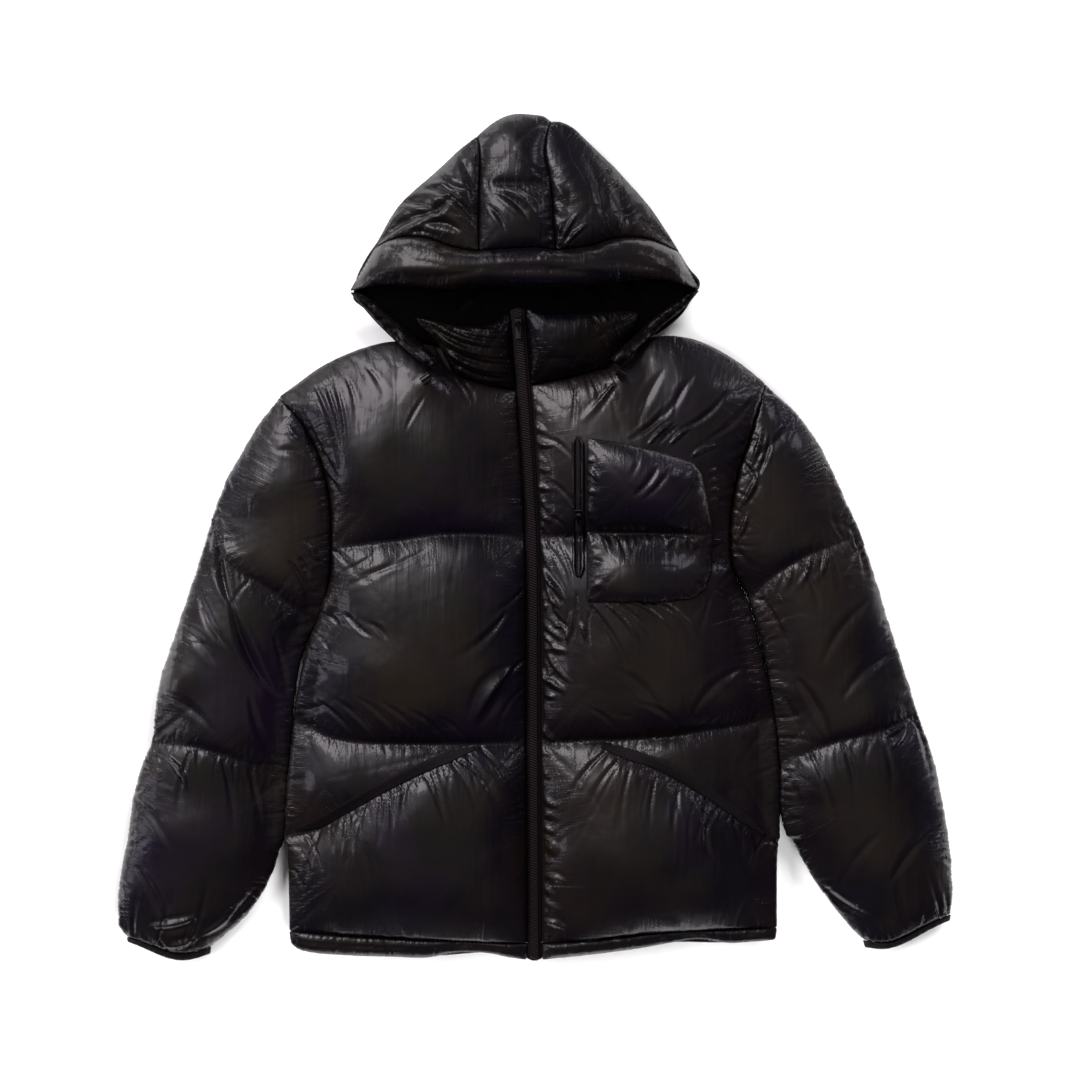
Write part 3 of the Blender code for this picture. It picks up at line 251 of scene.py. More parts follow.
# Creases: x, y of both ends, how far they bow to their left, how far they reach to each side, their
# depth, and 1 where they are deepest at their start, else 0. A negative depth makes a ridge.
FRONT_CREASES = {
    "right": [
        (-94, 182, -76, 152, 2, 3.5, 2.2, 1), (-86, 184, -69, 155, 2, 3.5, 2.4, 1),
        (-104, 180, -92, 156, 1, 3.5, 1.8, 1), (-123, 169, -150, 121, -2, 3.5, 1.4, 0),
        (-256, 178, -224, 74, 6, 5, 4, 0), (-244, 182, -222, 80, 5, 4, 3.4, 0),
        (-232, 180, -219, 92, 4, 4, 2.6, 0), (-268, 150, -226, 66, -5, 5, 4, 0),
        (-216, 180, -205, 126, 3, 6, 1.8, 1), (-190, 192, -172, 150, 4, 7, 1.5, 1),
        (-240, 70, -222, 42, 2, 5, 2.5, 1), (-246, 96, -224, 70, 0, 5, 2.5, 1),
        (-236, -14, -216, -34, 3, 5, 3.2, 1), (-150, -17, -229, -59, 5, 7, 1.0, 0),
        (-120, -10, -206, -44, 5, 5, 1.0, 0), (-184, -18, -232, -42, 3, 4, 1.2, 0),
        (-253, -84, -238, -102, 3, 4, 2.6, 1), (-240, -80, -222, -104, -3, 4, 2.4, 0),
        (-224, -86, -205, -108, 3, 4, 2.4, 0), (-208, -94, -188, -114, -3, 4, 2.2, 0),
        (-192, -98, -170, -118, 3, 5, 2, 0), (-257, -108, -232, -144, 4, 4, 3, 1),
        (-262, -126, -240, -160, -3, 5, 2.6, 1), (-37, -92, -102, -143, 6, 8, 3.4, 1),
        (-25, -150, -70, -214, -6, 11, -6.5, 0), (-12, -140, -56, -218, -8, 6, 3.4, 1),
        (-12, -172, -44, -226, -6, 4, 2.4, 1), (-14, -60, -60, -92, 4, 6, 1.8, 1),
        (-254, -188, -206, -232, 4, 4, 1.8, 0), (-232, -186, -180, -236, 5, 5, 2, 0),
        (-206, -184, -150, -238, 6, 5, 2, 0), (-180, -188, -124, -239, 5, 4, 1.8, 0),
        (-146, -198, -100, -239, 5, 4, 1.8, 0), (-112, -206, -76, -239, 4, 4, 1.5, 0),
        (-58, -248, -12, -326, 7, 6, 3.4, 1), (-78, -252, -34, -330, 6, 7, 2.6, 1),
        (-96, -258, -62, -332, 5, 6, 2.2, 1), (-172, -294, -184, -362, 3, 4, 3, 1),
        (-150, -282, -142, -360, -2, 5, 2.2, 1), (-120, -270, -104, -350, 4, 5, 2.2, 1),
        (-196, -306, -202, -370, -3, 4, 2.6, 1), (-220, -320, -222, -380, -3, 5, 2.4, 1),
        (-262, -346, -250, -402, 6, 5, 3.2, 1), (-278, -386, -264, -432, 4, 5, 3, 1),
        (-270, -362, -262, -400, 3, 4, 2.6, 1),
    ],
    "left": [
        (46, 176, 40, 120, 2, 3.7, 2.8, 1), (62, 188, 76, 140, 4, 4.3, 2.8, 1),
        (84, 194, 96, 150, 5, 5, 2.2, 1), (150, 196, 118, 128, -4, 7.4, 1.9, 0),
        (186, 190, 160, 140, -5, 6.2, 2.2, 0), (89, 174, 50, 130, 1, 6, -5, 1),
        (129, 105, 160, 134, 2, 3.5, -5, 0), (154, 105, 179, 127, 2, 3.5, -5, 0),
        (179, 92, 210, 106, 3, 4, -4.5, 0), (140, 104, 168, 130, 2, 3, 3, 0),
        (106, 112, 150, 152, -6, 5, 2.5, 0), (112, 118, 170, 172, -8, 5, 2, 0),
        (160, 122, 224, 172, -8, 5, 2.4, 0), (196, 112, 250, 160, -6, 5, 2.2, 0),
        (200, 74, 211, 78, 1, 3, -3, 0), (201, 63, 211, 66, 1, 3, -3, 0), (202, 53, 212, 55, 1, 3, -3, 0),
        (203, 43, 212, 44, 0, 3, -3, 0),
        (252, 118, 214, 96, 4, 5.6, 2.5, 1), (236, 66, 210, 52, 3, 5, 2.5, 1),
        (10, 70, 50, 30, 4, 3.7, 1.9, 0), (8, 118, 44, 90, 4, 3.7, 1.9, 0),
        (10, 26, 38, 6, 4, 3.1, 1.9, 0), (12, -8, 40, -66, 6, 3.7, 3.1, 1),
        (7, 2, 18, -6, 2, 2.6, -3.4, 0), (18, -6, 30, -2, 1, 2.6, -3.4, 0), (29, -3, 39, 3, 1, 2.6, -3.4, 0),
        (11, -43, 29, -84, -3, 4.5, -5, 0), (20, -103, 34, -103, 1, 3, -4, 0),
        (33, -101, 37, -122, 1, 3, -4, 0),
        (42, -84, 36, -122, 2, 4, -4.5, 0), (52, -98, 58, -120, 1, 3.5, -4, 0),
        (30, -10, 44, -70, 5, 3.7, 2.5, 1), (14, -72, 46, -108, -6, 4.3, 3.1, 0),
        (48, -62, 56, -104, -4, 3.1, 3.1, 0), (66, -82, 112, -170, 6, 6.2, 3.7, 1),
        (84, -78, 122, -130, 5, 4, -5, 1), (98, -77, 138, -124, 5, 3.5, 4, 1),
        (114, -75, 158, -112, 5, 3.5, -5, 1), (132, -75, 172, -95, 4, 3.5, 4, 1),
        (150, -76, 190, -122, 5, 4, -3.5, 1), (62, -90, 70, -150, -5, 5, 2.5, 1),
        (10, -118, 42, -168, -5, 5, -3.1, 0), (9, -140, 30, -180, -5, 3.7, 2.5, 1),
        (214, -62, 262, -128, 8, 6.2, 2.5, 1), (200, -74, 190, -110, 0, 5, 1.9, 1),
        (90, -150, 150, -210, 8, 8.7, 1.6, 0), (240, -150, 180, -206, -8, 7.4, 1.9, 0),
        (120, -190, 170, -222, 5, 5, 1.6, 0), (60, -196, 100, -230, 5, 4.3, 1.6, 0),
        (80, -248, 34, -322, -8, 5.6, 3.1, 1), (96, -256, 56, -330, -6, 6.2, 2.5, 1),
        (140, -274, 132, -352, -4, 5, 2.5, 1), (186, -300, 196, -372, 5, 5, 2.8, 1),
        (230, -330, 236, -398, 6, 5, 2.2, 1), (262, -352, 250, -410, -6, 5, 2.5, 1),
        (164, -290, 160, -384, -3, 7.4, 1.6, 1), (110, -262, 96, -350, -3, 5.6, 1.9, 1),
    ],
}


def outline_of(name, facing=1):
    """The rim of a CAD piece's top, or underside if facing is -1: points anticlockwise from above."""
    mesh = bmesh.new()
    mesh.from_mesh(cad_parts[name].data)
    bmesh.ops.remove_doubles(mesh, verts=mesh.verts, dist=1e-5)
    mesh.normal_update()
    outermost = max(mesh.faces, key=lambda face: facing * face.calc_center_median().z)
    sheet, waiting = {outermost}, [outermost]
    while waiting:
        for edge in waiting.pop().edges:
            for face in edge.link_faces:
                if face not in sheet and face.normal.z * facing > 0.02:
                    sheet.add(face)
                    waiting.append(face)
    beside = {}
    for edge in mesh.edges:
        if sum(face in sheet for face in edge.link_faces) == 1:
            for vert in edge.verts:
                beside.setdefault(vert, []).append(edge.other_vert(vert))
    first = next(iter(beside))
    loop, before = [first], None
    while True:
        a, b = beside[loop[-1]]
        after = b if a is before else a
        if after is first:
            break
        before = loop[-1]
        loop.append(after)
    points = np.array([vert.co for vert in loop])
    mesh.free()
    ahead = np.roll(points, -1, 0)
    area = (points[:, 0] * ahead[:, 1] - ahead[:, 0] * points[:, 1]).sum()
    points = untangled(points if area > 0 else points[::-1])
    points[:, :2] += outward(points) * MEETING
    return points


def outward(loop):
    """The direction out of a closed outline at each of its points, seen from above."""
    ahead = np.roll(loop, -1, 0) - np.roll(loop, 1, 0)
    out = np.column_stack([ahead[:, 1], -ahead[:, 0]])
    return out / np.maximum(np.linalg.norm(out, axis=1), 1e-9)[:, None]


def untangled(loop):
    """The outline without the small loops where it crosses itself."""
    for i in range(len(loop)):
        for k in range(i + 2, min(i + 6, len(loop) - 1)):
            a, b, c, d = (loop[j][:2] for j in (i, i + 1, k, k + 1))
            if intersect_line_line_2d(a, b, c, d):
                return untangled(np.delete(loop, range(i + 1, k + 1), 0))
    return loop


def rounded(loop, step):
    """A closed outline as a smooth line of close points that keeps its corners."""
    before, after = loop - np.roll(loop, 1, 0), np.roll(loop, -1, 0) - loop
    cross = before[:, 0] * after[:, 1] - before[:, 1] * after[:, 0]
    turn = np.abs(np.degrees(np.arctan2(cross, (before[:, :2] * after[:, :2]).sum(1))))
    in_length, out_length = np.linalg.norm(before, axis=1), np.linalg.norm(after, axis=1)
    weight = (in_length / (in_length + out_length))[:, None]
    heading = before / in_length[:, None] * (1 - weight) + after / out_length[:, None] * weight
    points = []
    for i in range(len(loop)):
        k = (i + 1) % len(loop)
        a, b, length = loop[i], loop[k], out_length[i]
        start = after[i] if turn[i] > CORNER else heading[i] * length
        end = after[i] if turn[k] > CORNER else heading[k] * length
        count = max(1, round(length / step))
        for t in np.arange(count) / count:
            points.append((2 * t**3 - 3 * t**2 + 1) * a + (t**3 - 2 * t**2 + t) * start
                          + (3 * t**2 - 2 * t**3) * b + (t**3 - t**2) * end)
    return np.array(points)


def smooth_line(points, step):
    """A smooth line of close points through the given ones, from millimetres to metres."""
    given = np.array(points, float) * MM
    ends = np.vstack([2 * given[0] - given[1], given, 2 * given[-1] - given[-2]])
    line = []
    for a, b, c, d in zip(ends, ends[1:], ends[2:], ends[3:]):
        count = max(2, round(np.linalg.norm(c - b) / step))
        for t in np.arange(count) / count:
            line.append(0.5 * (2 * b + (c - a) * t + (2 * a - 5 * b + 4 * c - d) * t**2
                               + (3 * b - a - 3 * c + d) * t**3))
    return np.vstack([line, given[-1]])


def nearest(points, targets):
    """The index of the target nearest to each point, and its distance, seen from above."""
    tree = kdtree.KDTree(len(targets))
    for i, target in enumerate(targets):
        tree.insert((target[0], target[1], 0), i)
    tree.balance()
    found = [tree.find((point[0], point[1], 0)) for point in points]
    return np.array([f[1] for f in found], int), np.array([f[2] for f in found])


def joined_to(loop, line, near=12 * MM):
    """The line with its ends moved to the nearest points of the outline, where they are near."""
    line = line.copy()
    for end in (0, -1):
        index, distance = nearest(line[end:] if end else line[:1], loop)
        if distance[0] < near:
            line[end] = loop[index[0]]
    return line


def within(points, loop):
    """Which of the points lie inside the outline."""
    x, y = points.T
    found = np.zeros(len(points), bool)
    for (ax, ay), (bx, by) in zip(loop[:, :2], np.roll(loop, -1, 0)[:, :2]):
        if ay != by:
            found ^= ((ay > y) != (by > y)) & (x < (bx - ax) * (y - ay) / (by - ay) + ax)
    return found


def woven(loop, seams, step, seed):
    """Fills an outline with even triangles whose edges follow its seams.

    Gives the points from above, the triangles, which points are sewn, and the sewn points' heights.
    """
    random = np.random.default_rng(seed)
    low, high = loop[:, :2].min(0), loop[:, :2].max(0)
    rows = []
    for k, y in enumerate(np.arange(low[1], high[1], step * 0.866)):
        xs = np.arange(low[0] + (k % 2) * step / 2, high[0], step)
        rows.append(np.column_stack([xs, np.full(len(xs), y)]))
    spots = np.vstack(rows)
    spots += random.normal(0, step * 0.07, spots.shape)
    spots = spots[within(spots, loop)]
    sewn = np.vstack([loop] + seams)
    spots = spots[nearest(spots, sewn)[1] > step * 0.6]
    count = len(loop)
    edges = [(i, (i + 1) % count) for i in range(count)]
    for seam in seams:
        edges += [(count + i, count + i + 1) for i in range(len(seam) - 1)]
        count += len(seam)
    places = [Vector(p[:2]) for p in np.vstack([sewn[:, :2], spots])]
    made, _, faces, origins, _, _ = delaunay_2d_cdt(places, edges, [list(range(len(loop)))], 1, 1e-7)
    given = [min(found) if found else count for found in origins]
    is_sewn = np.array(given) < count
    heights = np.array([sewn[i, 2] if i < count else 0.0 for i in given])
    return np.array(made), np.array(faces), is_sewn, heights


def spread(edges, fixed, values, source):
    """Solves the heights of a stretched skin (Poisson's equation) by conjugate gradients."""
    i, j = edges.T
    size = len(fixed)
    degree = np.bincount(i, minlength=size) + np.bincount(j, minlength=size)

    def pull(x):
        return degree * x - np.bincount(i, x[j], size) - np.bincount(j, x[i], size)

    held = np.where(fixed, values, 0.0)
    residual = np.where(fixed, 0.0, source - pull(held))
    step, total, start = residual.copy(), np.zeros(size), residual @ residual
    square = start
    while square > 1e-11 * start and start > 0:
        pulled = np.where(fixed, 0.0, pull(step))
        share = square / (step @ pulled)
        total += share * step
        residual -= share * pulled
        after = residual @ residual
        step = residual + after / square * step
        square = after
    return held + total


def averaged(values, edges):
    """Each point's mean of the values at the other ends of its edges."""
    i, j = edges.T
    size = len(values)
    shares = np.bincount(i, minlength=size) + np.bincount(j, minlength=size)
    return (np.bincount(i, values[j], size) + np.bincount(j, values[i], size)) / shares


def sides_of(faces):
    """The three edges of each triangle."""
    return np.vstack([faces[:, [0, 1]], faces[:, [1, 2]], faces[:, [2, 0]]])


def new_object(name, points, faces):
    """An object with a mesh of the given points and faces, in the scene."""
    data = bpy.data.meshes.new(name)
    data.from_pydata(points.tolist(), [], faces)
    made = bpy.data.objects.new(name, data)
    bpy.context.scene.collection.objects.link(made)
    return made


def inflate(name, points, faces, sewn, slack):
    """Blender's cloth: the skin is held at its seams and blown up, with some spare cloth beside them."""
    skin = new_object(name, points, faces.tolist())
    skin.vertex_groups.new(name="sewn").add(np.flatnonzero(sewn).tolist(), 1.0, "REPLACE")
    beside = skin.vertex_groups.new(name="beside")
    _, distance = nearest(points, points[sewn])
    for i, share in enumerate(np.exp(-((distance / SPARE_REACH) ** 2))):
        beside.add([i], float(share), "REPLACE")
    cloth = skin.modifiers.new("cloth", "CLOTH")
    settings = cloth.settings
    for setting, value in TAFFETA.items():
        setattr(settings, setting, value)
    settings.vertex_group_mass = "sewn"
    settings.vertex_group_shrink = "beside"
    settings.shrink_max = slack
    settings.effector_weights.gravity = 0
    cloth.collision_settings.use_collision = False
    for number in range(1, SETTLING + 1):
        bpy.context.scene.frame_set(number)
    settled = skin.evaluated_get(bpy.context.evaluated_depsgraph_get()).data
    moved = np.empty(len(points) * 3)
    settled.vertices.foreach_get("co", moved)
    moved = moved.reshape(-1, 3)
    data = skin.data
    bpy.data.objects.remove(skin)
    bpy.data.meshes.remove(data)
    bpy.context.scene.frame_set(1)
    travel = moved - points
    length = np.maximum(np.linalg.norm(travel, axis=1), 1e-9)[:, None]
    moved = points + travel * np.minimum(1, FARTHEST / length)
    for _ in range(SMOOTHING):
        mean = np.column_stack([averaged(column, sides_of(faces)) for column in moved.T])
        moved[~sewn] += 0.6 * (mean - moved)[~sewn]
    return moved


def lumps(points, sewn_distance, seed, height):
    """Uneven filling: broad soft swells and hollows away from the seams."""
    random = np.random.default_rng(seed)
    low, high = points[:, :2].min(0), points[:, :2].max(0)
    count = int(np.prod((high - low) / LUMP_SIZE) * 2.5) + 3
    total = np.zeros(len(points))
    for _ in range(count):
        centre = random.uniform(low, high)
        size = random.uniform(0.35, 0.8) * LUMP_SIZE
        swell = random.uniform(-1, 1) * height
        total += swell * np.exp(-((points[:, :2] - centre) ** 2).sum(1) / size**2)
    return total * np.minimum(1, sewn_distance / (20 * MM))


def gathered(stretches, sewn, seed):
    """Rows of a crease table for the small folds that run off stretches of seam."""
    random = np.random.default_rng(seed)
    rows = []
    for x0, y0, x1, y1, heading0, heading1, vary, apart, reach, depth in stretches:
        total = math.hypot(x1 - x0, y1 - y0)
        turned = (heading1 - heading0 + 180) % 360 - 180
        parts = []
        place = random.uniform(0, apart)
        while place < total:
            parts.append(place / total)
            place += apart * random.uniform(0.45, 1.6)
        chord = np.array([(x0 + (x1 - x0) * part, y0 + (y1 - y0) * part) for part in parts]) * MM
        if not parts:
            continue
        index, _ = nearest(chord, sewn)
        for part, root in zip(parts, sewn[index, :2] / MM):
            angle = math.radians(heading0 + turned * part + random.normal(0, vary))
            ahead = np.array([math.cos(angle), math.sin(angle)])
            length = reach * (0.3 + 0.9 * random.random() ** (1.8 if depth > 0 else 0.7))
            deep = depth * random.uniform(0.35, 1.1) * math.sqrt(length / reach)
            start = root if depth > 0 else root + 2 * ahead
            rows.append((*start, *(root + length * ahead), length * random.normal(0, 0.08),
                         apart * random.uniform(0.35, 0.6), deep, depth > 0))
    return rows


def pressed(points, normals, free, rows):
    """The points moved in along their normals by the creases of a table."""
    inward = np.zeros(len(points))
    flat = points[:, :2] / MM
    for x0, y0, x1, y1, bow, width, depth, rooted in rows:
        start, run = np.array([x0, y0]), np.array([x1 - x0, y1 - y0])
        length = max(1e-6, math.hypot(*run))
        margin = 2 * width + abs(bow)
        low, high = np.minimum((x0, y0), (x1, y1)) - margin, np.maximum((x0, y0), (x1, y1)) + margin
        near = np.flatnonzero(((flat > low) & (flat < high)).all(1))
        offset = flat[near] - start
        t = offset @ run / length**2
        across = (offset[:, 1] * run[0] - offset[:, 0] * run[1]) / length - bow * 4 * t * (1 - t)
        t_in = np.clip(t, 0, 1)
        if rooted:
            strength, reach = (1 - t_in) ** 1.2, width * (0.45 + 0.9 * t_in)
            strength = np.where(t < 0, np.maximum(0, 1 + t * length / width), strength)
        else:
            strength, reach = np.sin(math.pi * t_in) ** 0.8, width * (0.5 + 0.5 * np.sin(math.pi * t_in))
        profile = np.maximum(0, 1 - np.abs(across) / reach) ** 1.6
        # Cloth stands up a little on both sides of a fold.
        profile -= 0.18 * np.exp(-((np.abs(across) / reach - 1.25) ** 2) / 0.18)
        strength = np.where((t > 1) | (t * length < -width), 0, strength)
        inward[near] += depth * MM * strength * profile
    return points - normals * (inward * free)[:, None]


def searched(mesh):
    """A search tree of a mesh's faces."""
    return BVHTree.FromPolygons([v.co.copy() for v in mesh.vertices], [p.vertices[:] for p in mesh.polygons])


def underside_of(name):
    """A function that gives the height of a CAD piece's underside at each of many places."""
    tree = searched(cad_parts[name].data)
    foot = rounded(outline_of(name, -1), STEP)

    def height(places, at_rim):
        found = foot[nearest(places, foot)[0], 2] if len(places) else np.empty(0)
        if not at_rim:
            for i, (x, y) in enumerate(places[:, :2]):
                hit = tree.ray_cast(Vector((x, y, -0.1)), Vector((0, 0, 1)))[0]
                found[i] = found[i] if hit is None else hit.z
        return found

    return height


def lower_sheet(loop, height, step):
    """The underside's points, the rim's first, and its triangles."""
    low, high = loop[:, :2].min(0), loop[:, :2].max(0)
    grid = np.meshgrid(np.arange(low[0], high[0], step), np.arange(low[1], high[1], step))
    spots = np.column_stack([g.ravel() for g in grid]) + step * 0.3
    spots = spots[within(spots, loop)]
    spots = spots[nearest(spots, loop)[1] > 0.6 * step] if len(spots) else spots
    count = len(loop)
    places = [Vector(p) for p in np.vstack([loop[:, :2], spots])]
    edges = [(i, (i + 1) % count) for i in range(count)]
    made, _, faces, origins, _, _ = delaunay_2d_cdt(places, edges, [list(range(count))], 1, 1e-7)
    given = {i: min(found) for i, found in enumerate(origins)}
    heights = np.concatenate([height(loop, True), height(spots, False)])
    return np.column_stack([np.array(places), heights]), [[given[i] for i in face] for face in faces]


def padded_panel(name, loop, seams, puff, seed, lower, gathers=(), creases=(), lower_step=24 * MM,
                 slack=-0.015, swell=3.2, base=None, over=False, full=0.5, step=STEP, lower_creased=0.0,
                 belly=None, seats=()):
    """A closed padded panel: a skin blown up between its sewn lines, over a plainer underside.

    lower gives the underside's heights and base, if given, those of what the skin lies on. A panel
    that is over is made lying on its face and turned over, so that its skin is its underside. belly
    says how far the skin bulges out past the rim at each of its places. seats are x, y, z and reach
    in millimetres of places where the skin is brought to a height. step and lower_step are the sizes
    of the two sides' triangles. slack is how much the cloth shrinks beside its seams, and grows if
    below 0. swell is the height in millimetres of the uneven filling. full shapes the swelling:
    less of it rises more steeply from the seams and is flatter in the middle. lower_creased is the
    share of each crease that the underside takes.
    """
    flip = -1 if over else 1
    loop = loop * (1, 1, flip)
    seams = [seam * (1, 1, flip) for seam in seams]
    flat, faces, sewn, heights = woven(loop, seams, step, seed)
    edges = np.unique(np.sort(sides_of(faces), 1), axis=0)
    resting = spread(edges, sewn, heights, 0.0) if base is None else base(flat, edges)
    lift = np.sqrt(np.maximum(0, spread(edges, sewn, np.zeros(len(flat)), 1.5 * step**2)))
    lift = (lift / lift.max()) ** (2 * full)
    _, distance = nearest(flat, flat[sewn])
    top = np.column_stack([flat, resting + puff * lift + lumps(flat, distance, seed + 50, swell * MM)])
    if over:
        top[:, 2] = np.minimum(top[:, 2], -0.2 * MM)
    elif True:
        top = inflate(name, top, faces, sewn, slack)
    if belly is not None:
        index, distance = nearest(top, loop)
        bulge = belly(loop[index]) * np.sin(math.pi * np.clip(distance / BELLY_REACH, 0, 1)) ** 0.7
        top[:, :2] += outward(loop)[index] * bulge[:, None]
    for x, y, z, reach in seats:
        away = np.hypot(top[:, 0] - x * MM, top[:, 1] - y * MM)
        top[~sewn, 2] += ((z * MM - top[away.argmin(), 2]) * np.exp(-((away / (reach * MM)) ** 2)))[~sewn]
    rim_count = len(loop)
    rim, _ = nearest(loop, flat)
    floor_points, floor_faces = lower_sheet(loop, lower, lower_step)
    floor_points[:, 2] *= flip
    points = [*top]
    below = []
    for i, spot in enumerate(floor_points):
        if i < rim_count and top[rim[i], 2] - spot[2] < LEAST_WALL:
            below.append(rim[i])
        else:
            below.append(len(points))
            points.append(spot)
    polygons = [tuple(face) for face in faces]
    for i in range(rim_count):
        k = (i + 1) % rim_count
        wall = list(dict.fromkeys([rim[k], rim[i], below[i], below[k]]))
        if len(wall) > 2:
            polygons.append(tuple(wall))
    polygons += [tuple(below[i] for i in face[::-1]) for face in floor_faces]
    if over:
        polygons = [face[::-1] for face in polygons]
    piece = new_object(name, np.array(points) * (1, 1, flip), polygons)
    piece.vertex_groups.new(name="skin").add(list(range(len(flat))), 1.0, "REPLACE")
    piece.vertex_groups.new(name="sewn").add(np.flatnonzero(sewn).tolist(), 1.0, "REPLACE")
    finish_skin(piece, loop, seams, gathers, creases, seed, lower_creased)
    return piece


def finish_skin(piece, loop, seams, gathers, creases, seed, lower_creased):
    """Subdivides a padded panel and presses its gathers and creases into the fine mesh."""
    finer = piece.modifiers.new("finer", "SUBSURF")
    finer.levels = finer.render_levels = 1
    with bpy.context.temp_override(object=piece, active_object=piece, selected_objects=[piece]):
        bpy.ops.object.modifier_apply(modifier="finer")
    data = piece.data
    count = len(data.vertices)
    points, normals = np.empty(count * 3), np.empty(count * 3)
    data.vertices.foreach_get("co", points)
    data.vertices.foreach_get("normal", normals)
    points, normals = points.reshape(-1, 3), normals.reshape(-1, 3)
    skin, sewn = np.zeros((2, count))
    for vert in data.vertices:
        for member in vert.groups:
            (skin, sewn)[member.group][vert.index] = member.weight
    free = np.where(skin > 0.75, 1.0, lower_creased) * (1 - 0.85 * np.clip(sewn, 0, 1))
    lines = [np.vstack([loop, loop[:1]])] + seams
    sewn_line = np.vstack(lines)
    rows = list(creases) + gathered(gathers, sewn_line, seed + 100)
    points = pressed(points, normals, free, rows)
    points[:, 2] = np.maximum(points[:, 2], 0)
    data.vertices.foreach_set("co", points.ravel())
    # Places along the seams: each one starts 3 m on, so that no two of them share their ripples.
    along = np.concatenate([np.cumsum(np.r_[0, np.hypot(*np.diff(line[:, :2], axis=0).T)]) + 3.0 * i
                            for i, line in enumerate(lines)])
    index, distance = nearest(points, sewn_line)
    random = np.random.default_rng(seed + 200)
    knots = np.arange(0, along.max() + 0.1, RIPPLE_CHANGE)
    turned = np.radians(random.uniform(-RIPPLE_LEAN, RIPPLE_LEAN, len(knots)))
    lean = np.interp(along[index], knots, np.tan(turned))
    reach = np.interp(along[index], knots, RIPPLE_REACH * (0.3 + 1.1 * random.random(len(knots)) ** 1.5))
    place = np.column_stack([along[index] + lean * distance, distance, np.exp(-distance / reach) * skin])
    edges = np.array([edge.vertices[:] for edge in data.edges])
    torn = edges[np.abs(np.diff(place[edges, 0])[:, 0]) > 8 * MM]  # where the nearest seam changes
    place[torn, 2] = 0
    for _ in range(5):
        place[:, 2] = np.minimum(place[:, 2], averaged(place[:, 2], edges))
    beside = data.attributes.new("beside_seam", "FLOAT_VECTOR", "POINT")
    beside.data.foreach_set("vector", place.ravel())
    piece.vertex_groups.clear()
    data.polygons.foreach_set("use_smooth", [True] * len(data.polygons))
    data.update()


# Calendered nylon taffeta: ironed between hot rollers to a wet-looking gloss. It creases finely
# beside each seam, and its dye leaves brown, green and violet casts in the sheen.
nylon, tree, shader = new_material("calendered nylon taffeta")
place = node(tree, "ShaderNodeTexCoord").outputs["Object"]
cast = node(tree, "ShaderNodeTexNoise", {"Vector": place}, Scale=9.0, Detail=3.0)
tints = node(tree, "ShaderNodeValToRGB", {"Fac": cast.outputs["Fac"]})
ramp = tints.color_ramp.elements
ramp[0].position, ramp[1].position = 0.3, 0.7
ramp[0].color, ramp[1].color = to_linear("#1e1127"), to_linear("#292016")
ramp.new(0.45).color = to_linear("#121014")
seam_place = node(tree, "ShaderNodeAttribute", attribute_name="beside_seam").outputs["Vector"]
split = node(tree, "ShaderNodeSeparateXYZ", {"Vector": seam_place})
# Painted shade: within 2 mm to each side of a seam the colour goes to near black, and the cloth is also
# rougher and loses its coat there. It stands for the shadow in the seam's valley.
seam_shade_mask = node(tree, "ShaderNodeMapRange", {"Value": split.outputs["Y"]}, From_Min=0.0007, From_Max=0.0026)
shaded = node(tree, "ShaderNodeMix", {"Factor": seam_shade_mask.outputs["Result"], "B": tints.outputs["Color"]},
              data_type="RGBA", A=to_linear("#030303"))
tree.links.new(shaded.outputs["Result"], shader.inputs["Base Color"])
gloss = node(tree, "ShaderNodeTexNoise", {"Vector": place}, Scale=24.0, Detail=4.0)
rough = node(tree, "ShaderNodeMapRange", {"Value": gloss.outputs["Fac"]}, From_Min=0.3, From_Max=0.7,
             To_Min=0.32, To_Max=0.44)
dull = node(tree, "ShaderNodeMix", {"Factor": seam_shade_mask.outputs["Result"], "B": rough.outputs["Result"]}, A=0.9)
tree.links.new(dull.outputs["Result"], shader.inputs["Roughness"])
coat = node(tree, "ShaderNodeMath", {0: seam_shade_mask.outputs["Result"], 1: 0.45}, operation="MULTIPLY",
            label="gloss of the coat")
tree.links.new(coat.outputs["Value"], shader.inputs["Coat Weight"])
shader.inputs["Coat Roughness"].default_value = 0.13
# Ripples 11 mm apart and 70 mm long run off each seam.
stretch = node(tree, "ShaderNodeMapping", {"Vector": seam_place, "Scale": (1 / 0.011, 1 / 0.07, 0.0)})
ripple = node(tree, "ShaderNodeTexNoise", {"Vector": stretch.outputs["Vector"]}, Scale=1.0, Detail=0.5)
folded = node(tree, "ShaderNodeMath", {0: ripple.outputs["Fac"], 1: 0.5}, operation="PINGPONG")
ripples = node(tree, "ShaderNodeMath", {0: folded.outputs["Value"], 1: split.outputs["Z"]},
               operation="MULTIPLY")
# Long faint streaks, 14 mm apart and 140 mm long, hang down over the padding.
hanging = node(tree, "ShaderNodeMapping", {"Vector": place, "Scale": (1 / 0.014, 1 / 0.14, 1 / 0.06)})
streak = node(tree, "ShaderNodeTexNoise", {"Vector": hanging.outputs["Vector"]}, Scale=1.0, Detail=2.0,
              Distortion=0.6)
crumple = node(tree, "ShaderNodeTexNoise", {"Vector": place}, Scale=15.0, Detail=3.0)
weak = node(tree, "ShaderNodeMath", {0: crumple.outputs["Fac"], 1: 0.75}, operation="MULTIPLY")
fine = node(tree, "ShaderNodeMath", {0: streak.outputs["Fac"], 1: 0.22, 2: weak.outputs["Value"]},
            operation="MULTIPLY_ADD")
relief = node(tree, "ShaderNodeMath", {0: ripples.outputs["Value"], 1: fine.outputs["Value"]},
              operation="ADD")
bump = node(tree, "ShaderNodeBump", {"Height": relief.outputs["Value"]}, Strength=1.0, Distance=0.0032)
tree.links.new(bump.outputs["Normal"], shader.inputs["Normal"])
tree.links.new(bump.outputs["Normal"], shader.inputs["Coat Normal"])


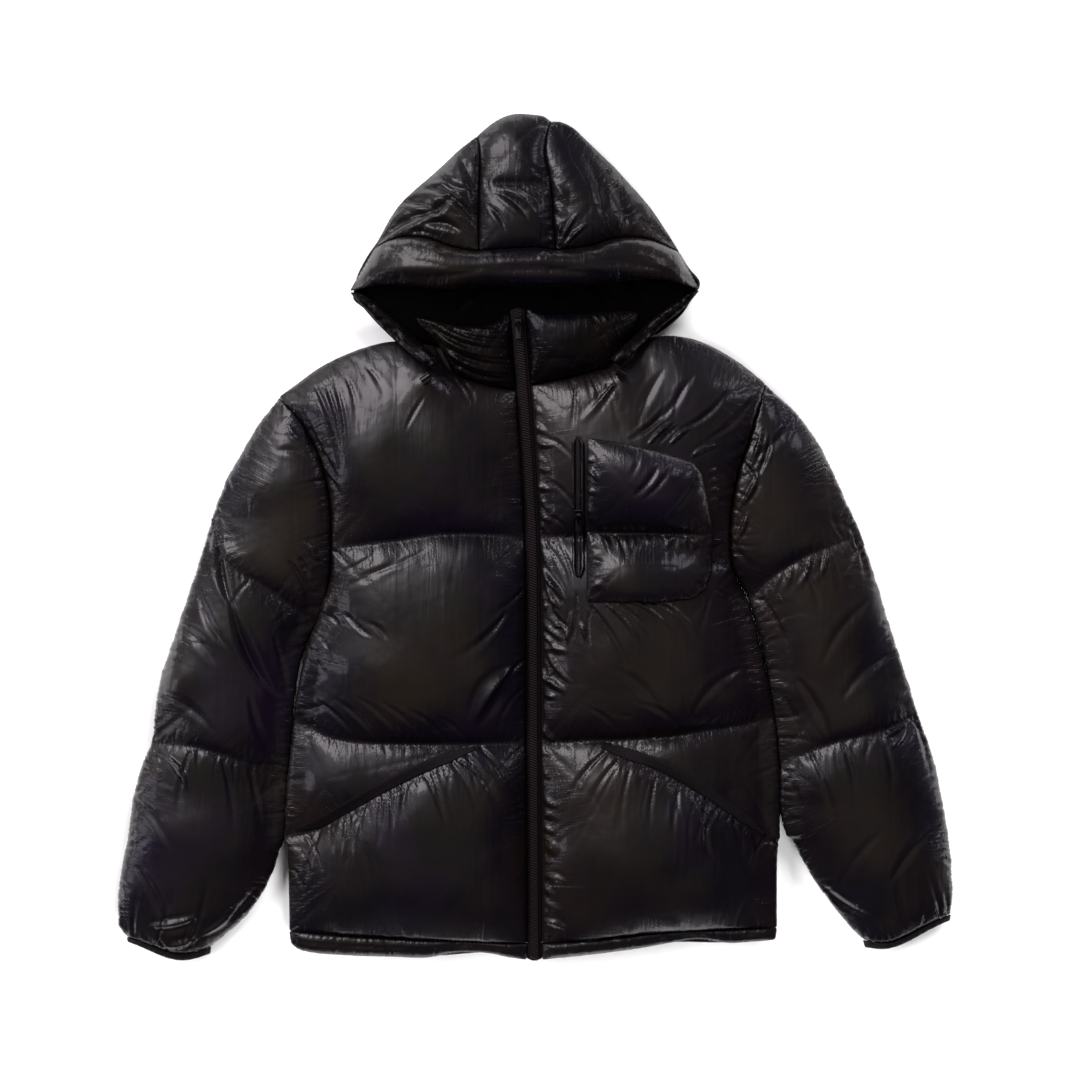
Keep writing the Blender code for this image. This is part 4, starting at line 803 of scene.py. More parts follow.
def sewn_in(piece, *stands_for, slot="shell_nylon", material=nylon, fill=0.6):
    """Gives the padded piece its cloth, hides the CAD pieces that it stands for and attaches it to the body
    it moves with.
    """
    piece.data.materials.append(material)
    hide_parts(*stands_for)
    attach(piece, "jacket")


MIDDLE = -6  # the x that the body's sides are even about
SIDES = (225, 302)  # the body's side seams and the sleeves' underarms are this far from the middle
UNDERARM, LAST_TOUCH = -52, -372  # the y between which body and sleeve bulge to each other


def beside_arms(places):
    """How far cloth bulges between the body's sides and the sleeves: from the underarm down."""
    x, y = places[:, 0] / MM, places[:, 1] / MM
    beside = (np.abs(x - MIDDLE) > SIDES[0]) & (np.abs(x - MIDDLE) < SIDES[1])
    return BELLY * np.clip((UNDERARM - y) / 25, 0, 1) * np.clip((y - LAST_TOUCH) / 20, 0, 1) * beside


# Below the cord locks, so that each rests on the shell.
FRONT_SEATS = {"right": [(-125.75, 182.7, 70, 20)], "left": [(99.25, 187.7, 66, 20)]}
fronts = {}
for side, seed in (("right", 11), ("left", 12)):
    loop = rounded(outline_of(f"front_{side}"), STEP)
    seams = [joined_to(loop, smooth_line(table, STEP)) for table in FRONT_SEAMS[side]]
    fronts[side] = padded_panel(f"front_{side}_padded", loop, seams, FRONT_PUFF, seed,
                                underside_of(f"front_{side}"), FRONT_GATHERS[side], FRONT_CREASES[side],
                                full=0.7, belly=beside_arms, seats=FRONT_SEATS[side])
    sewn_in(fronts[side], f"front_{side}")

# Hem casings: the fronts' lower edges. The same nylon is folded over into a narrow, lightly filled
# band and topstitched along its upper edge, which puckers it on both sides.
HEM_PUFF = 7 * MM
HEM_GATHERS = {
    "right": [(-284, -470, -14, -486, 80, 100, 15, 8, 24, 1.6),
              (-280, -457, -12, -469, 265, 275, 20, 7, 16, 1.2)],
    "left": [(280, -468, 14, -486, 80, 100, 15, 8, 24, 1.6),
             (278, -453, 12, -469, 265, 275, 20, 7, 16, 1.2)],
}
for side, seed in (("right", 21), ("left", 22)):
    loop = rounded(outline_of(f"hem_band_{side}"), STEP)
    hem = padded_panel(f"hem_casing_{side}", loop, [], HEM_PUFF, seed, underside_of(f"hem_band_{side}"),
                       HEM_GATHERS[side], step=4 * MM, swell=0.6)
    sewn_in(hem, f"hem_band_{side}", fill=0.2)

# Back: one padded panel from the shoulders to its own hem casing. The jacket rests on it, so its
# quilted skin is pressed flat below and rolls up to the side seams round its edge.
BACK_STEP = 8 * MM
BACK_PUFF = 34 * MM
BACK_TOP = 29 * MM  # the back's upper side, just below the fronts
BACK_SEAMS = [
    [(-236.5, -43, 10), (-120, -20, 8), (0, -14, 8), (120, -20, 8), (229, -38, 10)],
    [(-275, -209, 14), (-140, -232, 8), (0, -236, 8), (140, -230, 8), (274, -207, 14)],
]
BACK_GATHERS = [
    (-246, -90, -284, -450, 0, 0, 20, 11, 34, 1.6), (240, -60, 281, -450, 180, 180, 20, 11, 34, 1.6),
    (-290, 160, -240, 0, 0, 0, 20, 11, 34, 1.6), (262, 170, 228, 0, 180, 180, 20, 11, 34, 1.6),
    (-270, -458, 270, -455, 90, 90, 20, 12, 30, 1.4),
]
loop = rounded(outline_of("back", -1), BACK_STEP)
seams = [joined_to(loop, smooth_line(table, BACK_STEP), 20 * MM) for table in BACK_SEAMS]
upper_rim = rounded(outline_of("back"), BACK_STEP)


def back_upper(places, at_rim):
    """The height of the back's upper side at each of many places."""
    return upper_rim[nearest(places, upper_rim)[0], 2] if at_rim else np.full(len(places), BACK_TOP)


back = padded_panel("back_padded", loop, seams, BACK_PUFF, 31, back_upper, BACK_GATHERS, over=True,
                    step=BACK_STEP)
sewn_in(back, "back")
loop = rounded(outline_of("hem_band_back"), STEP)
hem = padded_panel("hem_casing_back", loop, [], 0.5 * MM, 32, underside_of("hem_band_back"), step=6 * MM,
                   swell=0.0, slack=0.0)
sewn_in(hem, "hem_band_back", fill=0.2)

# Sleeves: padded tubes pressed flat, sewn across into three baffles. They lie on their undersides
# and fold along the outer edge and the underarm.
SLEEVE_SEAMS = {
    "right": [
        [(-375.7, 24, 30), (-365, -15, 47), (-343, -38, 52), (-307, -61, 51), (-278, -83, 44),
         (-257, -99, 30)],
        [(-445.7, -237, 30), (-395, -242, 50), (-343, -258, 49), (-290, -279, 30)],
    ],
    "left": [
        [(379, 4, 30), (342, -9, 48), (307, -25, 52), (272, -47, 47), (249, -71, 30)],
        [(444, -202, 30), (400, -224, 49), (353, -235, 51), (308, -252, 42), (285, -266, 30)],
    ],
}
SLEEVE_GATHERS = {
    "right": [
        (-296, 160, -238, 50, 200, 180, 20, 9, 50, 2.2), (-236, 50, -246, -85, 180, 200, 20, 9, 40, 2.0),
        (-300, 150, -372, 30, 300, 330, 20, 11, 40, 1.6), (-375, 24, -262, -92, 60, 80, 22, 9, 34, 1.8),
        (-378, 20, -262, -98, 240, 265, 22, 8, 42, 2.4), (-380, 0, -440, -226, 340, 0, 22, 11, 34, 1.6),
        (-262, -112, -288, -268, 180, 170, 22, 10, 40, 2), (-440, -238, -294, -276, 85, 105, 22, 10, 30, 1.5),
        (-440, -244, -294, -284, 262, 275, 20, 9, 44, 2.2),
        (-448, -250, -484, -440, 350, 10, 22, 11, 34, 1.7),
        (-292, -290, -330, -430, 180, 150, 22, 10, 40, 2), (-476, -462, -378, -468, 95, 100, 18, 8, 50, 2.6),
    ],
    "left": [
        (266, 174, 228, 20, 340, 0, 20, 9, 50, 2.2), (226, 20, 238, -56, 0, 340, 20, 9, 40, 2.0),
        (272, 172, 376, 12, 240, 200, 20, 11, 40, 1.6), (378, 6, 254, -66, 110, 95, 22, 9, 34, 1.8),
        (382, 0, 254, -74, 285, 270, 22, 8, 42, 2.4), (384, -6, 440, -190, 190, 180, 22, 11, 34, 1.6),
        (254, -84, 284, -256, 0, 10, 22, 10, 40, 2.0), (440, -202, 290, -262, 100, 80, 22, 10, 30, 1.5),
        (440, -210, 290, -270, 275, 262, 20, 9, 44, 2.2), (448, -214, 486, -430, 190, 170, 22, 11, 34, 1.7),
        (288, -278, 350, -430, 0, 30, 22, 10, 40, 2.0), (484, -438, 386, -460, 85, 80, 18, 8, 50, 2.6),
    ],
}
SLEEVE_CREASES = {
    "right": [
        (-366, 4, -350, -80, -6, 8, 7, 0), (-352, -70, -300, -184, -8, 9, 7.5, 0),
        (-430, -252, -402, -292, 6, 5, -5, 0), (-447, -450, -389, -438, -3, 6, -4.5, 0),
        (-429, -474, -389, -462, -3, 5, -4, 0), (-389, -462, -344, -428, -3, 5, -3.5, 0),
        (-268, 128, -256, 96, 2, 5, 3, 0), (-286, 132, -262, 108, -4, 4, -3, 0),
        (-300, 100, -262, 92, 4, 7, 1.6, 0), (-282, -30, -256, -84, 3, 5.9, 3, 1),
        (-268, -4, -250, -32, 2, 5, -3, 0), (-276, -20, -262, -48, 3, 5, 3, 0),
        (-420, -100, -368, -150, 8, 9.1, 2.1, 0), (-390, -60, -352, -130, -6, 6.5, 2.4, 0),
        (-300, -120, -286, -220, 4, 6.5, 2.4, 1), (-438, -180, -370, -226, 8, 7.8, 2.1, 0),
        (-330, -180, -300, -262, -5, 6.5, 2.4, 0), (-400, -250, -412, -340, -5, 5.9, 2.7, 1),
        (-360, -262, -350, -350, 4, 6.5, 2.4, 1), (-330, -272, -318, -360, 4, 5.9, 2.1, 1),
        (-470, -300, -420, -360, 6, 7.8, 2.1, 0), (-462, -380, -430, -450, 5, 6.5, 3, 0),
        (-440, -470, -420, -380, -5, 5.9, 3, 1), (-400, -470, -380, -390, -4, 5.9, 2.7, 1),
        (-320, -400, -372, -450, 6, 6.5, 2.4, 0), (-466, -460, -456, -400, 3, 5.2, 2.4, 1),
    ],
    "left": [
        (262, 128, 246, 78, 3, 4, -4.5, 0), (272, 122, 256, 70, 3, 4, 3.5, 0),
        (258, 76, 236, 34, 3, 4, -4.5, 0), (246, 30, 232, -4, 2, 4, -4, 0),
        (300, 140, 250, 90, 5, 7.8, 2.4, 0), (238, 90, 262, 40, 4, 5.2, 3, 1),
        (226, 0, 262, -40, -5, 5.9, 2.4, 1), (340, -12, 352, -70, 3, 5.2, 2.7, 1),
        (318, -26, 300, -62, 3, 4.5, -5, 1), (337, -17, 322, -54, 3, 4.5, -5, 1),
        (296, -37, 286, -64, 2, 4, -4, 1), (436, -206, 404, -230, 3, 4.5, -5, 0),
        (430, -216, 410, -244, 3, 4, -4, 0),
        (308, -28, 330, -100, 4, 5.9, 2.7, 1), (372, -6, 384, -60, 3, 5.2, 2.4, 1),
        (262, -72, 296, -150, 6, 6.5, 3, 1), (390, -70, 330, -150, -8, 9.1, 1.8, 0),
        (420, -130, 352, -190, -8, 9.1, 2.1, 0), (300, -160, 340, -232, 5, 7.8, 1.8, 0),
        (284, -180, 312, -246, 4, 6.5, 2.4, 1), (400, -228, 412, -300, 4, 5.9, 2.7, 1),
        (356, -238, 372, -330, 4, 6.5, 2.7, 1), (320, -252, 350, -350, 4, 6.5, 2.4, 1),
        (440, -210, 460, -300, 4, 5.9, 2.4, 1), (290, -272, 310, -340, 5, 5.9, 2.4, 1),
        (470, -330, 410, -400, -6, 8.5, 2.1, 0), (430, -458, 420, -380, 4, 5.9, 3, 1),
        (470, -440, 450, -380, -3, 5.2, 2.7, 1), (330, -400, 392, -440, -6, 6.5, 2.4, 0),
        (400, -340, 350, -410, -6, 9.1, 1.8, 0),
    ],
}
SLEEVE_PUFF = 30 * MM
DROOP = 11 * MM  # how much lower the middle of a sleeve's end hangs than its corners


def drooped(loop):
    """The outline let down round the middle of the sleeve's end."""
    x, y = loop[:, 0] / MM, loop[:, 1] / MM
    loop[:, 1] -= DROOP * np.clip((-420 - y) / 40, 0, 1) * np.exp(-(((np.abs(x) - 405) / 36) ** 2))
    return loop


for side, seed in (("right", 41), ("left", 42)):
    loop = drooped(rounded(outline_of(f"sleeve_{side}"), STEP))
    seams = [joined_to(loop, smooth_line(table, STEP)) for table in SLEEVE_SEAMS[side]]
    sleeve = padded_panel(f"sleeve_{side}_padded", loop, seams, SLEEVE_PUFF, seed,
                          underside_of(f"sleeve_{side}"), SLEEVE_GATHERS[side], SLEEVE_CREASES[side],
                          lower_step=11 * MM, lower_creased=0.6, full=0.66, belly=beside_arms)
    sewn_in(sleeve, f"sleeve_{side}")

# Cuffs: a narrow band of knitted elastic folded over each sleeve's raw edge and stitched through, so
# that it draws the sleeve in.
# Knitted elastic: covered rubber threads in a polyester knit, matt, with ribs 3.2 mm apart that run
# round the wrist.
elastic, tree, shader = new_material("knitted polyester elastic")
along = node(tree, "ShaderNodeAttribute", attribute_name="beside_seam").outputs["Vector"]
ribs = node(tree, "ShaderNodeMapping", {"Vector": along, "Scale": (1 / 0.0032, 0.0, 0.0)})
wave = node(tree, "ShaderNodeTexWave", {"Vector": ribs.outputs["Vector"]}, Scale=1.0, Distortion=0.8)
fuzz = node(tree, "ShaderNodeTexNoise", {"Vector": node(tree, "ShaderNodeTexCoord").outputs["Object"]},
            Scale=900.0, Detail=2.0)
knit = node(tree, "ShaderNodeMath", {0: wave.outputs["Fac"], 1: fuzz.outputs["Fac"]}, operation="ADD")
hue = node(tree, "ShaderNodeMix", {"Factor": fuzz.outputs["Fac"]}, data_type="RGBA",
           A=to_linear("#0a080a"), B=to_linear("#171317"))
tree.links.new(hue.outputs["Result"], shader.inputs["Base Color"])
shader.inputs["Roughness"].default_value = 0.72
shader.inputs["Sheen Weight"].default_value = 0.1
rib = node(tree, "ShaderNodeBump", {"Height": knit.outputs["Value"]}, Strength=0.8, Distance=0.0007)
tree.links.new(rib.outputs["Normal"], shader.inputs["Normal"])

CUFF_STEP = 3 * MM
CUFF_PUFF = 3.5 * MM
CUFF_GATHERS = {
    "right": [(-470, -463, -378, -470, 270, 270, 12, 7, 16, 1.0),
              (-470, -468, -378, -477, 90, 90, 12, 7, 16, 1.0)],
    "left": [(480, -438, 384, -462, 270, 270, 12, 7, 16, 1.0),
             (480, -446, 384, -468, 90, 90, 12, 7, 16, 1.0)],
}
for side, seed in (("right", 45), ("left", 46)):
    loop = drooped(rounded(outline_of(f"cuff_{side}"), CUFF_STEP))
    cuff = padded_panel(f"cuff_{side}_binding", loop, [], CUFF_PUFF, seed, underside_of(f"cuff_{side}"),
                        CUFF_GATHERS[side], step=CUFF_STEP, lower_step=5 * MM, swell=0.3, slack=0.0)
    sewn_in(cuff, f"cuff_{side}", slot="elastic_binding", material=elastic, fill=0.2)

# Collar: a padded stand on each side of the zip, sewn to the neck edge. The hood's mouth presses on it, so it
# creases. Its taffeta is the shaded copy, darker and less glossy: painted shade for the hood's shadow over
# it.
COLLAR_PUFF = 14 * MM
FINE_STEP = 4.5 * MM
COLLAR = {  # each half's gathers and creases
    "right": ([(-20, 180, -26, 250, 190, 200, 14, 12, 22, 1.2)],
              [(-28, 184, -104, 210, 9, 3.5, 3.5, 0), (-26, 192, -112, 222, 10, 3.5, -3, 0),
               (-26, 200, -116, 230, 10, 3.5, 3.5, 0), (-28, 209, -120, 240, 10, 3.5, -3, 0),
               (-30, 218, -124, 248, 10, 3.5, 3, 0), (-30, 230, -112, 250, 8, 3.5, 3, 0),
               (-34, 240, -96, 252, 6, 3, -2.4, 0)]),
    "left": ([(40, 186, 108, 230, 100, 120, 18, 18, 20, 0.7)],
             [(60, 262, 84, 212, 4, 4, 2.6, 0), (74, 262, 92, 222, 3, 4, -2.6, 0),
              (88, 260, 100, 226, 3, 4, 2.4, 0), (10, 206, 50, 200, 3, 9, 1.2, 0)]),
}


def duller(name, shade, specular, gloss):
    """The taffeta darkened to a share of its colour, with less shine."""
    made = nylon.copy()
    made.name = name
    made.node_tree.nodes["Principled BSDF"].inputs["Specular IOR Level"].default_value = specular
    for part in made.node_tree.nodes:
        if part.label == "gloss of the coat":
            part.inputs[1].default_value = gloss
        if part.type == "VALTORGB":
            for stop in part.color_ramp.elements:
                stop.color = [c * shade for c in stop.color[:3]] + [1.0]
    return made


# A shaded copy of the taffeta, with its colour halved and its shine cut. It is painted shade for the collar
# and the hood's edge bands, which lie in the hood's shadow.
shaded_nylon = duller("nylon taffeta, shaded copy", 0.5, 0.1, 0.2)
for side, seed in (("right", 51), ("left", 52)):
    gathers, creases = COLLAR[side]
    loop = rounded(outline_of(f"collar_{side}"), STEP)
    collar = padded_panel(f"collar_{side}_padded", loop, [], COLLAR_PUFF, seed,
                          underside_of(f"collar_{side}"), gathers, creases, step=FINE_STEP, swell=1.5)
    sewn_in(collar, f"collar_{side}", material=shaded_nylon, fill=0.5)

# Hood's underlayer: the lined back of the hood. It shows inside the hood's mouth, is sewn to the outer
# panels round its edge, and is the layer that the hood rests on.
# Lining taffeta: the same nylon without its gloss. Its near-black colour is painted shade for the shadow
# inside the hood's mouth.
lining, tree, shader = new_material("matt nylon lining")
fibre = node(tree, "ShaderNodeTexNoise", {"Vector": node(tree, "ShaderNodeTexCoord").outputs["Object"]},
             Scale=40.0, Detail=3.0)
hue = node(tree, "ShaderNodeMix", {"Factor": fibre.outputs["Fac"]}, data_type="RGBA",
           A=to_linear("#030203"), B=to_linear("#060406"))
tree.links.new(hue.outputs["Result"], shader.inputs["Base Color"])
shader.inputs["Roughness"].default_value = 0.38
shader.inputs["Specular IOR Level"].default_value = 0.08
creased = node(tree, "ShaderNodeBump", {"Height": fibre.outputs["Fac"]}, Strength=0.8, Distance=0.001)
tree.links.new(creased.outputs["Normal"], shader.inputs["Normal"])
HOOD_BACK_STEP = 8 * MM
HOOD_BACK_PUFF = 4 * MM
COARSE = 14 * MM  # the triangles of the hood's undersides
HOOD_BACK_CREASES = [
    (-120, 280, -60, 330, 6, 12, 4, 0), (-90, 262, -30, 320, 6, 12, 4, 0), (-60, 268, -10, 340, 5, 12, 4, 0),
    (30, 266, 10, 330, -5, 12, 4, 0), (90, 262, 40, 326, -5, 12, 4, 0), (130, 270, 80, 330, -5, 12, 4, 0),
]
# It reaches a little further out at the mouth's two corners, where its dark lining fills the gaps as painted
# shade, and is held up against the roll there.
HOOD_MIDDLE, HOOD_CORNERS = -11, 191
CORNER_GROWTH = 3.5 * MM
HOOD_BACK_SEATS = [
    (-204, 294, 38, 7), (-197, 301, 38, 9), (-187, 315, 38, 9), (-175, 329, 38, 9),
    (180, 293, 36, 7), (173, 301, 38, 9), (164, 315, 38, 9), (153, 329, 38, 9),
]
loop = rounded(outline_of("hood_back"), HOOD_BACK_STEP)
at_corners = np.clip((np.abs(loop[:, 0] / MM - HOOD_MIDDLE) - HOOD_CORNERS) / 5, 0, 1)
loop[:, :2] += outward(loop) * CORNER_GROWTH * at_corners[:, None]
hood_back = padded_panel("hood_underlayer", loop, [], HOOD_BACK_PUFF, 61, underside_of("hood_back"),
                         creases=HOOD_BACK_CREASES, step=HOOD_BACK_STEP, lower_step=COARSE, slack=0.0,
                         swell=1.0, seats=HOOD_BACK_SEATS)
sewn_in(hood_back, "hood_back", material=lining, fill=0.4)

# Hood: three padded panels sewn edge to edge from the crown down to a thick roll across the front.
# Padded bands run from the roll's two ends down to the neck and hold the drawcord.
HOOD_PUFF, BRIM_PUFF, EDGE_PUFF = 17 * MM, 20 * MM, 10 * MM
HOOD_PANELS = {  # each panel's gathers and creases
    "right": (
        [(-66, 400, -65, 340, 200, 170, 20, 12, 26, 1.6), (-180, 338, -70, 332, 75, 105, 18, 14, 26, 1.4)],
        [(-160, 388, -108, 372, 8, 8, 5, 0), (-150, 372, -92, 398, -8, 8, 5, 0),
         (-128, 404, -84, 380, 7, 8, 5, 0), (-110, 420, -76, 402, -6, 7, 4, 0),
         (-132, 360, -86, 352, 7, 8, 4.5, 0), (-170, 350, -132, 368, 6, 8, 4, 0),
         (-98, 392, -70, 360, 5, 7, 4.5, 0), (-146, 352, -112, 344, 5, 7, 3.5, 0),
         (-88, 440, -72, 392, 5, 9, 3, 0)],
    ),
    "centre": (
        [(-64, 400, -63, 340, 330, 10, 20, 12, 24, 1.6), (18, 400, 24, 340, 215, 200, 14, 11, 22, -2.6),
         (-60, 334, 22, 334, 80, 100, 18, 14, 18, 1.0)],
        [(-50, 400, -8, 366, 6, 7, 3.5, 0), (-36, 402, 0, 372, 5, 6, -3, 0),
         (-56, 384, -34, 352, 4, 5, 3.5, 0), (-20, 404, 8, 384, 3, 5, 2.4, 0)],
    ),
    "left": (
        [(22, 420, 26, 350, 290, 300, 12, 14, 34, -2.4), (120, 334, 34, 334, 80, 60, 14, 15, 24, 1.2)],
        [(30, 338, 50, 374, 2, 3, -4.5, 0), (34, 336, 62, 362, 2, 3, -4.5, 0),
         (26, 342, 34, 366, 1, 3, -4, 0), (60, 440, 78, 370, 4, 9, 2, 0),
         (90, 410, 104, 350, 4, 9, 2, 0), (124, 386, 96, 344, -5, 9, 2, 0)],
    ),
}
# The hood's taffeta: a copy a little deeper in colour and less glossy.
deep = duller("nylon taffeta of the hood", 0.7, 0.42, 0.38)
CENTRE_SEAM = [(-46, 409.5, 60), (-16, 408.5, 63), (12, 409, 58)]
for number, (side, (gathers, creases)) in enumerate(HOOD_PANELS.items()):
    loop = rounded(outline_of(f"hood_{side}"), FINE_STEP)
    seams = [smooth_line(CENTRE_SEAM, FINE_STEP)] if side == "centre" else []
    panel = padded_panel(f"hood_{side}_padded", loop, seams, HOOD_PUFF, 71 + number,
                         underside_of(f"hood_{side}"), gathers, creases, step=FINE_STEP,
                         lower_step=COARSE, full=0.7)
    sewn_in(panel, f"hood_{side}", material=deep)
BRIM_GATHERS = [
    (-182, 338, -70, 334, 262, 280, 12, 16, 30, 1.2), (4, 334, 26, 336, 262, 290, 12, 7, 26, -3.6),
    (30, 336, 160, 334, 265, 280, 14, 22, 20, 0.8),
]
BRIM_CREASES = [
    (-200, 304, -60, 308, -8, 10, 3, 0), (-60, 306, 90, 300, 4, 11, 2.5, 0),
    (60, 318, 170, 300, 6, 10, 2.5, 0), (-170, 336, -140, 318, 3, 6, 2, 1),
    (-120, 338, -96, 320, 3, 6, 2, 1),
]
loop = rounded(outline_of("hood_brim"), FINE_STEP)
brim = padded_panel("hood_brim_padded", loop, [], BRIM_PUFF, 75, underside_of("hood_brim"), BRIM_GATHERS,
                    BRIM_CREASES, step=FINE_STEP, lower_step=COARSE)
sewn_in(brim, "hood_brim", material=deep, fill=0.8)
EDGE_STEP = 4 * MM
EDGE_GATHERS = {
    "right": [(-190, 262, -120, 204, 20, 40, 14, 11, 26, 2.0)],
    "left": [(168, 262, 96, 206, 160, 140, 14, 11, 26, 2.0)],
}
for side, seed in (("right", 76), ("left", 77)):
    loop = rounded(outline_of(f"hood_edge_{side}"), EDGE_STEP)
    edge = padded_panel(f"hood_edge_{side}_padded", loop, [], EDGE_PUFF, seed,
                        underside_of(f"hood_edge_{side}"), EDGE_GATHERS[side], step=EDGE_STEP,
                        lower_step=COARSE, swell=1.0)
    # Painted shade: the bands take the shaded copy of the taffeta.
    sewn_in(edge, f"hood_edge_{side}", material=shaded_nylon, fill=0.7)

# Chest pocket: a padded bag laid on the wearer's left front, sewn down round its edge and quilted
# across once, in line with the chest seam.
POCKET_PUFF = 19 * MM
POCKET_SEAM = [(64, 5, 0), (130, 5, 0), (200, 3, 0)]
POCKET_GATHERS = [
    (59, 108, 59, 12, 312, 300, 11, 12, 20, -4.4), (66, 112, 180, 90, 280, 255, 16, 22, 26, 1.4),
    (190, 84, 204, 20, 215, 190, 15, 16, 14, 1.2), (66, 2, 196, 2, 300, 262, 14, 10, 24, -3),
    (66, 8, 196, 8, 80, 100, 20, 18, 12, 0.7), (59, 0, 60, -70, 320, 345, 16, 13, 20, -3),
    (64, -73, 180, -70, 80, 110, 20, 16, 14, 1.0), (198, -60, 204, -10, 150, 185, 18, 12, 22, 1.8),
]
POCKET_CREASES = [
    (143, 88, 112, 46, 4, 6, 2.6, 0), (158, 86, 122, 42, 4, 5, 2, 0), (120, 98, 104, 62, 3, 5, 2.4, 1),
    (186, 70, 150, 22, 4, 7, 1.8, 0), (74, 2, 88, -28, 3, 4, -4, 1), (92, 2, 106, -32, 3, 4, 3, 1),
    (128, 2, 114, -30, -3, 4, -3.4, 1),
    (146, 2, 154, -26, 2, 4, 3, 1), (174, 2, 190, -20, 2, 4, -4.5, 1),
]


def surface_of(piece):
    """A function that gives the height of a finished piece's top at each of many places."""
    tree = searched(piece.data)

    def height(places):
        hits = [tree.ray_cast(Vector((p[0], p[1], 1)), Vector((0, 0, -1)))[0] for p in places]
        return np.array([SEAM_LEVEL if hit is None else hit.z for hit in hits])

    return height


SMOOTHED = 14  # rounds that take the front's small folds out of what the pocket lies on
ON_TOP = 2.5 * MM  # how far a sewn-down edge stands above the panel that it is laid on
chest_height = surface_of(fronts["left"])
loop = rounded(outline_of("chest_pocket"), FINE_STEP)
loop[:, 2] = chest_height(loop) + ON_TOP
seam = joined_to(loop, smooth_line(POCKET_SEAM, FINE_STEP))
seam[:, 2] = chest_height(seam) + ON_TOP


def over_chest(flat, edges):
    """The front's own swell below the pocket, without its small folds."""
    height = chest_height(flat) + ON_TOP
    for _ in range(SMOOTHED):
        height = averaged(height, edges)
    return height


CLEAR = 0.3 * MM  # how far laid cloth stays off the cloth below
pocket = padded_panel("chest_pocket_padded", loop, [seam], POCKET_PUFF, 81,
                      lambda places, at_rim: chest_height(places) + CLEAR, POCKET_GATHERS, POCKET_CREASES,
                      base=over_chest, step=FINE_STEP, swell=1.2, lower_step=COARSE, full=0.57)
sewn_in(pocket, "chest_pocket", fill=0.7)

# Hand pockets: a flat band of woven tape is stitched over each slanting mouth. It narrows to its ends,
# where it goes into the seams.
# Woven polyester tape: a close herringbone twill, dull black going brown in the light. Its ribs are
# 0.6 mm apart, drawn at 1.2 mm so that they show.
tape, tree, shader = new_material("woven polyester tape")
laid = node(tree, "ShaderNodeAttribute", attribute_name="laid").outputs["Vector"]
twill = node(tree, "ShaderNodeMapping", {"Vector": laid, "Scale": (1 / 0.0012, 1 / 0.0024, 0.0),
                                         "Rotation": (0.0, 0.0, math.radians(28))})
wave = node(tree, "ShaderNodeTexWave", {"Vector": twill.outputs["Vector"]}, Scale=0.32, Distortion=0.4)
fibre = node(tree, "ShaderNodeTexNoise", {"Vector": laid}, Scale=700.0, Detail=2.0)
hue = node(tree, "ShaderNodeMix", {"Factor": fibre.outputs["Fac"]}, data_type="RGBA",
           A=to_linear("#151012"), B=to_linear("#221b1e"))
tree.links.new(hue.outputs["Result"], shader.inputs["Base Color"])
shader.inputs["Roughness"].default_value = 0.62
shader.inputs["Specular IOR Level"].default_value = 0.3
weave = node(tree, "ShaderNodeMath", {0: wave.outputs["Fac"], 1: fibre.outputs["Fac"]}, operation="ADD")
rib = node(tree, "ShaderNodeBump", {"Height": weave.outputs["Value"]}, Strength=0.6, Distance=0.0004)
tree.links.new(rib.outputs["Normal"], shader.inputs["Normal"])

WELT_WIDTH = 12.4
WELT_THICK = 1.3
WELTS = {  # x, y along the middle of each band
    "right": [(-70, -243), (-119.8, -261), (-173.8, -287), (-219.8, -313), (-252, -331), (-278, -339)],
    "left": [(76, -240), (140.2, -261), (193.2, -290), (242.2, -324), (266, -344)],
}
TIP = 0.3  # the share of its width that a narrowed end keeps
SECTION = [(-1, 0), (-1, 0.7), (-0.9, 1), (-0.45, 1), (0, 1), (0.45, 1), (0.9, 1), (1, 0.7), (1, 0), (0.5, 0),
           (0, 0), (-0.5, 0)]  # across and up a band's cross-section, in half widths and thicknesses


def travelled(line):
    """How far along a line each of its points lies."""
    return np.r_[0, np.cumsum(np.linalg.norm(np.diff(line, axis=0), axis=1))]


